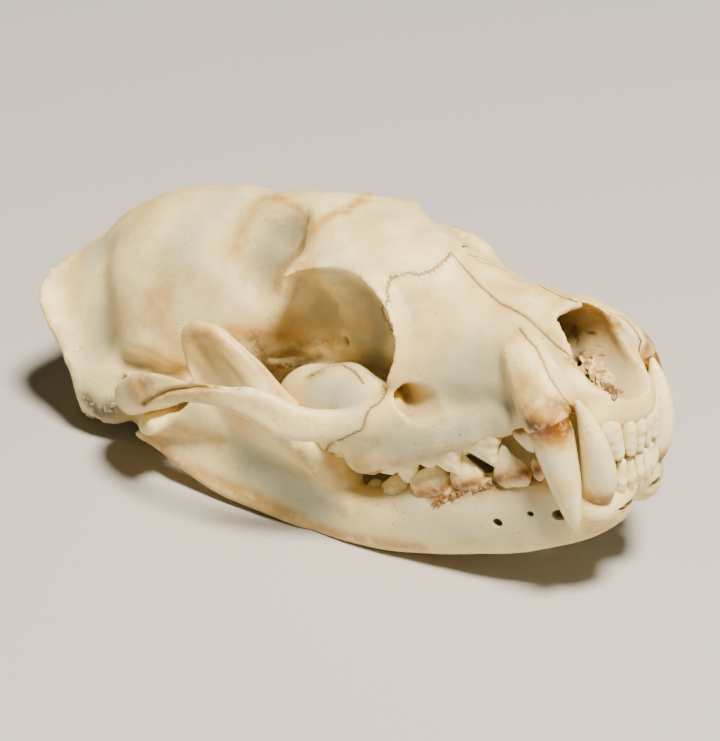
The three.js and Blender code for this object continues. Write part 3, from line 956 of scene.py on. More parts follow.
def dressed(obj: bpy.types.Object, finish: Finish) -> None:
    """Gives the whole piece one finish."""
    obj.data.materials.clear()
    obj.data.materials.append(finish.material())
    obj.data.polygons.foreach_set("material_index", np.zeros(len(obj.data.polygons), int))


# Bones

SEAM_GROOVE = 0.3
SEAM_DEPTH = 0.13
SEAM_INK = 0.27
SEAM_STAIN = 1.0
CRUST_GRAIN = 0.13


def cut(y: float, half: float, top: float, bottom: float, widest: float,
        crown: float = 2, base: float = 2) -> Row:
    """Returns a station from an upright slice of the skull."""
    return (0, y, widest, half, top - widest, widest - bottom, crown, base)


def oval(x: float, y: float, z: float, wide: float, high: float, bulge: float = 2) -> Row:
    """Returns a station with an oval section."""
    return (x, y, z, wide, high, high, bulge, bulge)


@dataclass
class Cranium:
    """The upper skull: every bone of it, grown together, with its openings and seams."""

    rough_grain: float = 0.6
    grain: float = 0.42
    triangles: int = 120000
    braincase: Sequence[Row] = (
        cut(49, 7.2, 32, 8, 20), cut(55, 7.4, 33.4, 5, 20), cut(61, 9.4, 33.8, 3, 18),
        cut(67, 13, 33.6, 2, 16), cut(73, 15.8, 33.3, 1.4, 15), cut(79, 17, 32.8, 1, 14),
        cut(85, 17, 32.1, 1, 13.5), cut(91, 15.2, 30.4, 1.4, 13), cut(96.5, 12.2, 28, 2, 12.5),
        cut(101, 8.6, 25.8, 3.4, 12),
    )
    forehead: Sequence[Row] = (
        cut(22, 4.4, 21.8, 14, 17, 1.7), cut(26, 6.2, 23.2, 13, 17, 1.7, 1.8),
        cut(30, 8.2, 24.8, 12, 17.4, 1.7, 1.6), cut(34, 9.6, 27, 12, 18.8, 1.8, 1.4),
        cut(38, 10.5, 29.2, 12, 21.6, 1.8, 1.2), cut(42, 11, 31, 12, 23.8, 1.9, 1.2),
        cut(46, 10.8, 32.3, 12, 24.6, 1.9, 1.2), cut(50, 9.4, 33.2, 12, 24.6, 1.9, 1.4),
        cut(54, 7.8, 33.8, 12, 24, 2, 1.7), cut(60, 8, 34, 14, 22),
    )
    snout: Sequence[Row] = (
        cut(1.2, 4.2, 4.6, 0.4, 2.2, 2.2, 2.2), cut(3.6, 5.8, 7.8, 0.6, 3.6, 1.9, 2.4),
        cut(6.4, 7.4, 13.2, 1.4, 5, 1.6, 2.4), cut(8.6, 8.8, 18.5, 3, 7, 1.45, 2.4),
        cut(13.5, 10.2, 19.5, 2.6, 8, 1.45, 2.4), cut(18, 10.8, 20.8, 2, 8.5, 1.5, 2.4),
        cut(23, 11.2, 22.4, 1.4, 8.5, 1.55, 2.2), cut(28, 12, 24, 0.4, 9, 1.65, 2.2),
        cut(33, 13.2, 25, -1, 9.5, 1.85, 2.2), cut(38.5, 14.2, 25.8, -2, 10, 2.2, 2.2),
    )
    gum_ridge: Sequence[Row] = (
        oval(-7, 6, 4, 1.9, 2), oval(-5.2, 4.4, 3.1, 1.9, 2), oval(-3, 2.8, 2.3, 1.9, 2),
        oval(0, 2, 2, 1.9, 2), oval(3, 2.8, 2.3, 1.9, 2), oval(5.2, 4.4, 3.1, 1.9, 2),
        oval(7, 6, 4, 1.9, 2),
    )
    palate: Sequence[Row] = (
        cut(8, 9.6, 8, 3.6, 5.4, 2.2, 4), cut(14, 11.4, 8, 2.4, 5, 2.2, 5),
        cut(20, 12.8, 7.4, 0.2, 4, 2.2, 6), cut(25, 15, 7, -1.3, 3, 2.2, 6),
        cut(30, 16.6, 7, -2.8, 2.4, 2.2, 6), cut(35, 17.9, 7.4, -4, 1.6, 2.2, 6),
        cut(40, 18.4, 7.8, -5.2, 0.8, 2.2, 6), cut(45, 17.6, 8, -6.6, 0, 2, 5),
        cut(48.6, 13.4, 8, -5.6, 0.4, 2, 3), cut(53, 8.6, 8, -3, 1.4, 2, 2),
    )
    orbit_wall: Sequence[Row] = (
        cut(30, 8.6, 24, 3, 12), cut(36, 8.4, 26, 2, 12), cut(43, 7.6, 28, 0, 12, 2.4),
        cut(50, 7, 29, -1, 12, 2.4), cut(58, 7.4, 29, 2, 13), cut(66, 9, 28, 2, 12),
    )
    ear_region: Sequence[Row] = (
        cut(74, 13.6, 9, 1, 5, 2.4), cut(80, 16.6, 11, 0.6, 5.4, 2.4),
        cut(87, 17.6, 13, 0.4, 6, 2.4), cut(94, 17.8, 15, 0, 6.4, 2.4),
        cut(100, 17, 16, 0.6, 7, 2.2),
    )
    nape: Sequence[Row] = (
        cut(88, 14.2, 29.8, 2, 13), cut(93, 14.6, 28.2, 2, 13), cut(98, 15.8, 26.2, 1, 12.5),
        cut(101, 17, 25, 0, 12), cut(103.2, 17.6, 24.2, 0, 12),
    )
    crest: Line = (
        (5, 103.7, 24.2), (10, 104.8, 23.5), (13.8, 105.2, 22.3), (17.2, 104.4, 20.2),
        (19.1, 101.8, 16.2), (19.6, 99.8, 11.6), (19.9, 98.6, 6.4), (19, 99.2, 2.6),
        (15.6, 101.6, -1), (8, 102.4, 0.6),
    )
    crest_section: Path = (
        (0, 12), (0.3, 10.4), (0.5, 8), (0.68, 4.8), (0.84, 2.2), (0.96, 0.9), (1.01, 0.3),
        (1, -0.4), (0.93, -0.9), (0.8, -0.7), (0.5, -0.4), (0, 0),
    )
    postorbital: Sequence[Row] = (
        oval(5, 45.4, 27.4, 6, 3), oval(9, 48, 26.6, 5.2, 2.1), oval(12.2, 49.8, 26.1, 3.6, 1.6),
        oval(14.4, 50.8, 25.7, 2, 1.1), oval(15.9, 51.8, 25.2, 0.7, 0.6),
    )
    orbit_rim: Sequence[Row] = (
        oval(9.8, 40.8, 25, 1.8, 1.8), oval(11, 37, 22.2, 2, 2), oval(11.8, 35, 19.2, 2.2, 2.2),
        oval(12.8, 34.3, 15.8, 2.2, 2.2), oval(13.8, 34.6, 12.4, 2.2, 2.2),
        oval(15, 36, 9.4, 2.2, 2.4),
    )
    arch: Sequence[Row] = (
        oval(11.6, 31.6, 5, 2.6, 4.2, 2.2), oval(16, 36.6, 4.8, 2.6, 3.8, 2.2),
        oval(19.2, 40.6, 5, 2.2, 3, 2.4), oval(21.8, 44.2, 5.4, 1.7, 2.8, 2.4),
        oval(24.2, 48, 6.8, 1.5, 3.2, 2.4), oval(26.2, 51.4, 9.8, 1.4, 3.3, 2.4),
        oval(27.6, 56, 11.5, 1.1, 2.3, 2.4), oval(28.2, 61.5, 12.3, 1.05, 2.2, 2.4),
        oval(28, 67, 12.2, 1.2, 2.7, 2.4), oval(27.1, 72.5, 11.2, 1.4, 3.1, 2.4),
        oval(25.4, 78, 9.2, 1.7, 3.2, 2.4), oval(22.2, 83, 6.6, 2.6, 3, 2.4),
        oval(17, 86.4, 5.2, 3.4, 3, 2.4),
    )
    joint_shelf: Sequence[Row] = (
        oval(12, 80, 5.4, 6, 2.8, 2.6), oval(17, 79.6, 5.8, 5.6, 2, 2.6),
        oval(22, 79, 6.6, 4.6, 1.7, 2.6), oval(26, 78, 8, 3, 1.6, 2.6),
    )
    mastoid: Sequence[Row] = (
        oval(15.6, 94.6, 10, 3, 4), oval(16.6, 95.4, 4.6, 3, 5.2), oval(16.2, 96.4, 0.8, 2.6, 4.8),
        oval(15.8, 97.4, -1.2, 1.4, 2.8),
    )
    paroccipital: Sequence[Row] = (
        oval(10.5, 99, 5, 3.2, 2.6), oval(12.4, 100.8, 1.6, 2.8, 2.2),
        oval(13.6, 102, -1.4, 2, 1.6), oval(14.3, 102.7, -3.3, 1.1, 0.9),
    )
    pterygoid: Sequence[Row] = (
        oval(6.2, 47, -1, 1.1, 3), oval(6.2, 53, 0, 1, 3.4), oval(6.2, 60, 1, 0.9, 3.4),
        oval(6.4, 66, 2, 0.8, 2.6), oval(6.6, 70, 2.4, 0.8, 1.6),
    )
    nose: Sequence[Row] = (
        oval(0, -3, 9, 4.8, 4.4, 2.4), oval(0, 2, 9.5, 5.0, 5.3, 2.3),
        oval(0, 6, 10.3, 5.3, 6.3, 2.2),
        oval(0, 9, 10.9, 5.7, 6.4, 2.2), oval(0, 12, 11.2, 5.8, 6.3, 2.2),
        oval(0, 16, 11.6, 5.6, 6.2, 2.2), oval(0, 22, 12.4, 4.8, 5.4, 2.2),
        oval(0, 28, 13, 3.2, 3.6, 2.2),
    )
    nasal_edge: Path = (
        (6.1, 7.2), (5.5, 7.4), (5, 8.2), (4, 9.6), (3.1, 11), (2.3, 10.5), (1.6, 9.9),
        (0.8, 9.2), (0, 8.3),
    )
    nose_profile: Path = (
        (-8, 12.7), (7.6, 12.7), (7.1, 11.4), (6.7, 10.3), (5.8, 9), (5, 7.7), (4, 6.9), (2.4, 6.5),
        (-8, 6.4),
    )
    socket: Sequence[Row] = (
        (7.4, 17, 15, 1.8, 2.4, 2.4), (9.3, 13.2, 11, 2.6, 3.5, 3.5),
        (10.7, 11, 7.6, 3, 3.9, 3.9), (11.4, 9.9, 5, 3.1, 4.1, 4.1),
        (11.6, 9.3, 3.3, 2.9, 3.8, 3.8),
    )
    orbit_floor: Sequence[tuple[Point, Point]] = (
        ((11.4, 53.4, 3), (5, 8, 6.8)), ((12.4, 47.6, 3.2), (6, 9, 7.6)),
        ((14, 42, 3), (5, 7.6, 7.2)), ((8.4, 56, 3.4), (3.6, 7, 4.6)),
    )
    canal: Sequence[Row] = (
        oval(17, 23, 7, 2.4, 2.4), oval(14.9, 28.4, 6.7, 2.5, 2.8), oval(13.4, 33.4, 6.7, 2.4, 2.7),
        oval(12, 38, 7.4, 2.1, 2.4), oval(11, 42, 8.2, 2, 2.2),
    )

    def shape(self) -> Clay:
        """Returns the bare form, joined and carved but without fine marks."""
        pieces = [
            skinned(self.braincase, end=0.12, rings=48, around=64),
            skinned(self.forehead, end=0.02), skinned(self.snout, end=0.03, around=56),
            skinned(self.palate, end=0.03), skinned(self.orbit_wall, end=0.02),
            skinned(self.ear_region, end=0.02), skinned(self.nape, end=0.04), self.rear_crest(),
            skinned(self.gum_ridge, up=(0, 0, 1), end=0.1),
        ]
        pairs: list[Callable[[int], bpy.types.Object]] = [
            lambda side: skinned(self.postorbital, side, end=0.05, rings=20, around=24),
            lambda side: skinned(self.socket, side, up=(0, 1, 0), end=0.05, rings=20, around=24),
            lambda side: skinned(self.orbit_rim, side, up=(1, 0, 0), rings=20, around=24),
            lambda side: skinned(self.arch, side, end=0.02, rings=60, around=32),
            lambda side: skinned(self.joint_shelf, side, rings=20, around=32),
            lambda side: skinned(self.mastoid, side, up=(0, 1, 0), rings=16, around=24),
            lambda side: skinned(self.paroccipital, side, up=(0, 1, 0), rings=16, around=24),
            lambda side: skinned(self.pterygoid, side, rings=20, around=16),
            lambda side: egg((5.4, 102, 4.6), (4.2, 3.6, 3.6), side),
            lambda side: egg((10.4, 85, -0.4), (5.9, 10.6, 6.2), side, tilt=-8),
        ]
        for make in pairs:
            pieces += both(make)
        obj = fused("cranium", pieces, self.rough_grain)
        clay = Clay(obj)
        clay.melt(8)
        clay.melt(60, clay.reach([(0, 44, 33), (0, 54, 34), (0, 64, 34)], 14))
        for side in Side:
            waist = [(side * 17, 60, 18), (side * 12, 62, 26)]
            flare = [(side * 12, 98, 27), (side * 17, 96, 20), (side * 17.6, 94, 10)]
            clay.melt(30, clay.reach(waist, 9))
            clay.melt(70, clay.reach(flare, 8))
        clay.write()
        for cutter in self.openings():
            carved(obj, cutter)
        swells: list[bpy.types.Object] = []
        for at, size in self.orbit_floor:
            swells += both(lambda side, at=at, size=size: egg(at, size, side, tilt=-14))
        obj = clay.obj = fused("cranium", [obj, *swells], self.grain)
        clay.reread()
        clay.melt(2)
        for side in Side:
            floor = [(side * 11, 54, 8), (side * 12, 48, 10), (side * 14, 42, 9)]
            brow_edge = [(side * 14, 52, 28), (side * 9, 56, 33)]
            clay.melt(40, clay.reach(floor, 9))
            clay.melt(30, clay.reach(brow_edge, 5))
        clay.relax(6)
        return clay

    def rear_crest(self) -> bpy.types.Object:
        """Returns the flared crest at the back of the skull."""
        mirrored = [(-x, y, z) for x, y, z in reversed(self.crest)]
        rim = [(0, 103.2, 24.8), *self.crest, (0, 101, 2.4), *mirrored]
        return disc(rim, (0, 99.6, 12), (0, -1, 0), self.crest_section)

    def openings(self) -> list[bpy.types.Object]:
        """Returns the cutters of the nose, eye sockets, canals, ears and rear opening."""
        return [
            skinned(self.nose, end=0.05),
            self.nasal_front(),
            *both(lambda side: egg((15.6, 60.4, 29), (7.6, 8, 8.6), side, rings=40, around=48)),
            blade([(-12, y, z) for y, z in self.nose_profile], (24, 0, 0)),
            egg((0, 27, -7.6), (8, 24, 5.6)),
            *both(lambda side: egg((10, 59.6, 9.6), (3.2, 3.9, 1.15), side, tilt=-7)),
            *both(lambda side: egg((8.8, 53.4, 11.2), (2.8, 1.9, 0.95), side, tilt=-10)),
            *both(lambda side: skinned(self.canal, side, end=0.02, rings=16, around=24)),
            *both(lambda side: egg((15.6, 44.8, 16.7), (9.2, 11.9, 10.8), side, rings=40,
                                   around=48)),
            *both(lambda side: egg((18, 87.6, 5.6), (4.2, 2.1, 2.3), side)),
            egg((0, 105, 8.4), (5.6, 10, 4.6)),
        ]

    def nasal_front(self) -> bpy.types.Object:
        """Returns the cutter that gives the nasal bones their lobed front edge."""
        near = [(x, y, 12.6) for x, y in self.nasal_edge]
        far = [(-x, y, z) for x, y, z in reversed(near[:-1])]
        return blade([(5.9, -6, 12.6), *near, *far, (-5.9, -6, 12.6)], (0, 0, 14))

    def model(self, clay: Clay) -> None:
        """Pushes and pulls the larger hollows, ridges and swellings."""
        for path, radius, height in CRANIUM_STROKES:
            spots = clay.seen(path)
            if spots:
                clay.push(spots, radius, height)
        clay.push([(0, 46, 34), (0, 38, 30)], 7, -0.5)
        clay.push([(8, 33, 25), (10, 38, 26), (11, 41, 27)], 6, -1.8, sides=1)
        edge = clay.near(self.crest, 2.4)
        clay.relax(14)
        clay.rumple(1.6, 0.35, edge)
        clay.rumple(7, 0.18)
        low = clay.near([(16, 99, -1), (13, 102, -2)], 6)
        clay.rumple(1.1, 0.5, low)

    def paint(self, clay: Clay) -> None:
        """Paints the stains, painted shade in hollows and holes, the inside of the nose and the
        rough places.
        """
        for mark, path, radius, value in CRANIUM_MARKS:
            spots = clay.seen(path)
            if spots:
                clay.tint(mark, spots, radius, value, sides=2)
        # The inner wall of the eye socket is clean, apart from its two holes.
        calm = 1 - 0.75 * clay.reach([(-9, 50, 17), (-9, 41, 15)], 11)
        clay.tints[Tint.TAN] *= calm
        clay.tints[Tint.BROWN] *= calm
        x, y, z = clay.spots.T
        # Painted shade inside the eye socket's two holes, with brown over and round them.
        for at, size in (((10, 59.6, 9.6), 3.6), ((8.8, 53.4, 11.2), 2.1)):
            deep = clay.near([at], size)
            hidden = np.clip((9.2 - np.abs(x)) / 1.4, 0, 1)
            clay.deepen(Tint.DARK, deep * hidden * 1.2)
            clay.deepen(Tint.BROWN, deep * 0.7)
        # The nose is darker the deeper it goes, and brownest under its roof.
        ways = clay.normals()
        axis = np.interp(y, [0, 12, 28], [9.5, 11.2, 13])
        inward = -(ways[:, 0] * x + ways[:, 2] * (z - axis)) > 0
        inside = inward & (np.abs(x) < 6.2) & (y > 1) & (y < 30) & (z > 4) & (z < 18.5)
        # Painted shade inside the nose deepens the further in it goes, and the nose is brownest
        # under its roof.
        deep = np.clip((y - 12) / 9, 0, 1) * 0.85
        roof = np.clip((z - 11) / 4, 0, 1) * 0.9
        clay.deepen(Tint.DARK, np.where(inside, deep, 0))
        clay.deepen(Tint.TAN, np.where(inside, 0.35 + roof * 0.6, 0))

    def seams(self, clay: Clay) -> list[list[Point]]:
        """Cuts the seams between the bones and returns their lines."""
        lines = [clay.seen(jagged(path, step, height, seed))
                 for seed, (path, step, height) in enumerate(SEAMS)]
        lines = [part for line in lines for part in unbroken(line)]
        mirrored = [[(-x, y, z) for x, y, z in line if x < -1.5] for line in lines]
        lines += [line for line in mirrored if len(line) > 1]
        grooves = [(clay.seen(path), width, depth) for path, width, depth in GROOVES]
        grooves += [([(-x, y, z) for x, y, z in line], *rest) for line, *rest in grooves]
        wide = [line for line, *_ in grooves if len(line) > 1]
        clay.refine(lines + wide, 1.3)
        clay.refine(lines, 0.8)
        for line in lines:
            clay.push(line, SEAM_GROOVE, -SEAM_DEPTH, sides=1)
        for line, width, depth in grooves:
            if line:
                clay.push(line, width, depth, sides=1)
                clay.tint(Tint.BROWN, line, width * 0.8, 0.7)
        return lines

    def build(self) -> bpy.types.Object:
        """Returns the finished cranium in the frame."""
        clay = self.shape()
        self.model(clay)
        clay.thin(self.triangles)
        lines = self.seams(clay)
        self.paint(clay)
        for line in lines:
            clay.tint(Tint.SEAM, line, SEAM_INK, 1.15)
            clay.tint(Tint.TAN, line, SEAM_STAIN, 0.5)
        NOSE_SCROLLS.build(clay, SCROLL)
        NOSE_SPONGE.build(clay, DRIED_GUM)
        # Painted shade: the marks' painted shade is weakened a little, then small and wide hollows
        # are darkened.
        shade = np.maximum(clay.hollows(8, 0.2) * 0.8, clay.hollows(90, 1.1))
        clay.tints[Tint.SHADE] *= 0.8
        clay.deepen(Tint.SHADE, shade)
        clay.stand()
        clay.store()
        dressed(clay.obj, BONE)
        return settled(clay.obj, (
            "braincase", "face", "nasal_bones", "premaxilla", "zygomatic_arch_left",
            "zygomatic_arch_right", "auditory_bulla_left", "auditory_bulla_right",
        ))


# Ridges and hollows, drawn where the picture shows them: line, half width and height.
CRANIUM_STROKES: tuple[Stroke, ...] = (
    (((284, 238), (276, 258), (264, 276)), 6, -2.0),
    (((300, 220), (288, 236)), 4, -1.0),
    (((280, 284), (288, 264), (300, 246), (316, 228), (334, 214)), 2.0, 0.4),
    (((316, 228), (298, 206), (275, 197)), 2.0, 0.2),
    (((120, 349), (142, 343), (163, 353), (183, 366)), 3.0, 0.55),
    (((127, 358), (150, 362)), 4.0, -0.5),
    (((105, 250), (104, 300), (108, 340)), 5.5, -0.5),
    (((476, 388), (462, 402)), 9, -0.8),
    (((500, 288), (470, 270)), 5, -0.35),
    (((318, 292), (330, 300)), 5, -0.8),
    (((399, 394), (397, 406), (402, 419)), 1.3, 0.3),
    (((470, 436), (468, 426)), 2.0, 0.25),
    (((506, 432), (503, 420)), 2.0, 0.25),
    (((436, 448), (436, 438)), 2.2, 0.25),
    (((140, 388), (160, 380), (184, 379)), 2.4, -0.6),
    (((128, 388), (134, 377), (146, 370), (168, 369), (184, 373)), 1.0, 0.35),
    (((165, 400), (190, 398), (220, 399), (250, 406), (275, 420)), 1.8, -0.25),
    (((346, 338), (348.6, 343)), 0.7, -0.9),
    (((334, 278), (340, 300), (344, 325), (352, 348), (362, 372)), 2.6, 0.45),
    (((366, 300), (374, 330), (374, 360)), 4.5, -0.7),
    (((306, 345), (322, 339), (338, 343)), 1.5, 0.4),
    (((545, 372), (552, 386), (560, 398)), 2.4, 0.3),
    (((560, 350), (585, 378), (600, 392)), 1.6, 0.3),
)

CRANIUM_MARKS: tuple[Mark, ...] = (
    (Tint.COOL, ((475, 365), (450, 385), (480, 400)), 8, 0.8),
    (Tint.COOL, ((335, 392), (350, 398), (320, 388)), 5, 0.95),
    (Tint.COOL, ((374, 300), (384, 330), (376, 360)), 3.4, 0.7),
    (Tint.COOL, ((340, 280), (362, 290)), 3, 0.5),
    (Tint.COOL, ((196, 230), (180, 260), (205, 300)), 8, 0.55),
    (Tint.COOL, ((110, 300), (100, 350), (96, 250)), 5, 0.6),
    (Tint.COOL, ((270, 250), (285, 235)), 5, 0.75),
    (Tint.TAN, ((262, 200), (245, 225), (236, 245)), 2.6, 0.7),
    (Tint.TAN, ((280, 284), (288, 264), (300, 246), (316, 228), (334, 214), (366, 200)), 1.6, 0.9),
    (Tint.TAN, ((316, 228), (298, 206), (275, 197)), 1.5, 0.9),
    (Tint.TAN, ((282, 286), (296, 278), (306, 262)), 3, 0.7),
    (Tint.TAN, ((135, 395), (146, 375), (180, 375), (205, 384)), 3, 0.75),
    (Tint.TAN, ((143, 404), (154, 396), (169, 390.5), (192, 387.4), (216, 386)), 1.2, 1.0),
    (Tint.TAN, ((230, 332), (255, 332), (290, 338), (305, 343)), 2.6, 0.8),
    (Tint.TAN, ((150, 300), (170, 280), (160, 320)), 3.4, 0.5),
    (Tint.TAN, ((190, 275), (210, 290)), 3, 0.45),
    (Tint.TAN, ((330, 455), (360, 470), (400, 462), (450, 448)), 2.2, 0.6),
    (Tint.TAN, ((520, 380), (545, 400), (560, 405)), 3.4, 0.7),
    (Tint.TAN, ((455, 252), (500, 268), (560, 300)), 2.2, 0.4),
    (Tint.TAN, ((420, 300), (425, 330)), 3.4, 0.4),
    (Tint.BROWN, ((88, 400), (100, 414), (112, 408), (122, 412)), 3.0, 0.95),
    (Tint.BROWN, ((252, 338), (262, 348), (270, 372)), 1.8, 0.8),
    (Tint.BROWN, ((275, 366), (297, 365), (320, 357)), 1.6, 0.85),
    (Tint.BROWN, ((302, 345), (320, 342), (340, 340)), 1.6, 0.7),
    (Tint.BROWN, ((310, 376), (322, 372)), 1.6, 0.6),
    (Tint.BROWN, ((333, 454), (343, 466), (352, 478)), 1.3, 0.9),
    (Tint.TAN, ((530, 412), (545, 414), (573, 414)), 3.6, 1.5),
    (Tint.BROWN, ((530, 424), (548, 429), (573, 421)), 2.0, 1.4),
    (Tint.BROWN, ((552, 402), (566, 408)), 1.4, 0.8),
    (Tint.TAN, ((588, 309), (604, 317), (620, 326)), 1.6, 1.5),
    (Tint.BROWN, ((572, 326), (577, 340), (581, 354)), 1.6, 1.0),
    # Painted shade deep in the nose opening.
    (Tint.DARK, ((577, 360), (583, 370), (590, 378)), 1.5, 1.2),
    (Tint.COOL, ((612, 362), (622, 372), (626, 386)), 2.4, 1.0),
    (Tint.SEAM, ((588, 326), (596, 339), (601, 353), (601, 368)), 0.22, 1.2),
    (Tint.BROWN, ((366, 474), (382, 471), (415, 466), (440, 459), (461, 452), (480, 446)),
     0.9, 0.9),
    # Painted shade on the upper jaw above the cheek teeth.
    (Tint.SHADE, ((350, 440), (400, 436), (450, 428), (490, 415)), 5, 0.75),
    (Tint.COOL, ((400, 445), (450, 435), (500, 410)), 5, 0.8),
    # Painted shade in the eye socket and in deep hollows of the cranium.
    (Tint.SHADE, ((300, 330), (330, 320), (270, 345)), 4, 0.8),
    (Tint.SHADE, ((372, 300), (384, 330), (378, 362)), 4, 0.9),
    (Tint.SHADE, ((284, 236), (280, 256), (272, 270)), 5, 1.0),
    (Tint.SHADE, ((128, 358), (150, 360)), 3.4, 0.9),
    # Painted shade inside a small hole.
    (Tint.DARK, ((346, 338), (348.6, 343)), 0.5, 0.9),
    (Tint.ROUGH, ((280, 286), (296, 274), (310, 250)), 3.5, 0.9),
    (Tint.ROUGH, ((88, 400), (110, 412)), 5, 1.0),
    (Tint.ROUGH, ((530, 415), (560, 412)), 2.4, 0.5),
)

# Grooves: line, half width and height.
GROOVES: tuple[Stroke, ...] = (
    (((142, 404), (154, 396), (169, 390.5), (192, 387.4), (216, 386), (236, 388.5)), 0.75, -0.75),
    (((560, 424), (578, 421)), 0.5, -0.3),
)

# Seams between bones: line, step and height of the zigzag.
SEAMS: tuple[Stroke, ...] = (
    (((452, 252), (443, 262), (432, 270), (418, 275), (408, 273), (398, 276), (390, 278),
      (387, 290), (389, 300), (381, 308), (384, 316), (389, 324), (393, 334)), 2.6, 1.3),
    (((383, 385), (386.5, 390), (383, 397), (377, 404), (370, 408), (366, 416), (362, 430),
      (350, 436), (338, 441), (329, 445), (325, 453)), 2.4, 0.7),
    (((452, 253), (478, 284), (500, 303.6), (510, 308), (526, 317), (540, 330), (552, 342),
      (564, 352), (571, 357)), 4, 0.3),
    (((519, 328.5), (527.5, 339), (536, 347.5), (543, 361), (550, 376.7), (560, 392), (569, 404),
      (575, 416)), 4, 0.5),
    (((468, 254), (506, 266), (530, 280), (560, 296), (583, 304)), 5, 0.3),
    (((311, 376), (324, 367.5), (341, 364), (354, 371), (364, 384)), 3, 0.6),
)


@dataclass(frozen=True)
class Crust:
    """Flakes and grains that cling to a bone.

    Attributes:
        name: Its name, without the side.
        path: Its line, in the picture or in the skull's own frame.
        spread: How far the grains stray from the line, in the line's own units.
        count: Number of grains.
        size: Half the width, length and height of a usual grain.
        seed: Start of the random numbers.
    """

    name: str
    path: Path | Line
    spread: float
    count: int
    size: Point
    seed: int

    def build(self, clay: Clay, finish: "Finish", side: int = Side.LEFT) -> bpy.types.Object:
        """Grows the crust.

        Args:
            clay: The bone that it clings to.
            finish: Its finish.
            side: Side.RIGHT to mirror it.

        Returns:
            The finished crust.
        """
        draw = np.random.default_rng(self.seed)
        line = through(np.array(self.path, float), draw.uniform(0, len(self.path) - 1, self.count))
        line += draw.normal(0, self.spread, line.shape)
        grains = []
        places = [tuple(place) for place in line]
        for spot in clay.seen(places) if len(places[0]) == 2 else places:
            size = tuple(np.array(self.size) * draw.uniform(0.5, 1.4, 3))
            tilt, spin = draw.uniform(-60, 60, 2)
            grains.append(egg(spot, size, side, tilt, spin, rings=8, around=10))
        obj = fused(self.name, grains, CRUST_GRAIN)
        crust = Clay(obj)
        crust.melt(1)
        crust.rumple(0.5, 0.16, shift=float(self.seed))
        # Painted shade in the hollows between the grains.
        crust.tints[Tint.SHADE] = crust.hollows(6, 0.12)
        crust.stand()
        crust.store()
        dressed(obj, finish)
        return settled(obj)


NOSE_SCROLLS = Crust(
    "nose_scrolls", ((589, 362), (595, 370), (601, 376), (609, 383)),
    spread=2.4, count=22, size=(1.7, 0.24, 1.4), seed=3,
)
NOSE_SPONGE = Crust(
    "nose_sponge", ((602, 384), (609, 388), (617, 394)),
    spread=2.0, count=46, size=(0.45, 0.3, 0.4), seed=4,
)
LOWER_TARTAR = Crust(
    "lower_gum", ((437, 503), (450, 496), (463, 491), (478, 487), (492, 484), (508, 483),
                  (520, 481), (534, 480)),
    spread=1.5, count=130, size=(0.3, 0.6, 0.2), seed=5,
)
FRONT_TARTAR = Crust(
    "front_gum", ((-4.7, 4.9, -7.9), (-3, 4.2, -7.8), (-0.7, 3.8, -7.7)),
    spread=0.25, count=60, size=(0.4, 0.3, 0.25), seed=6,
)


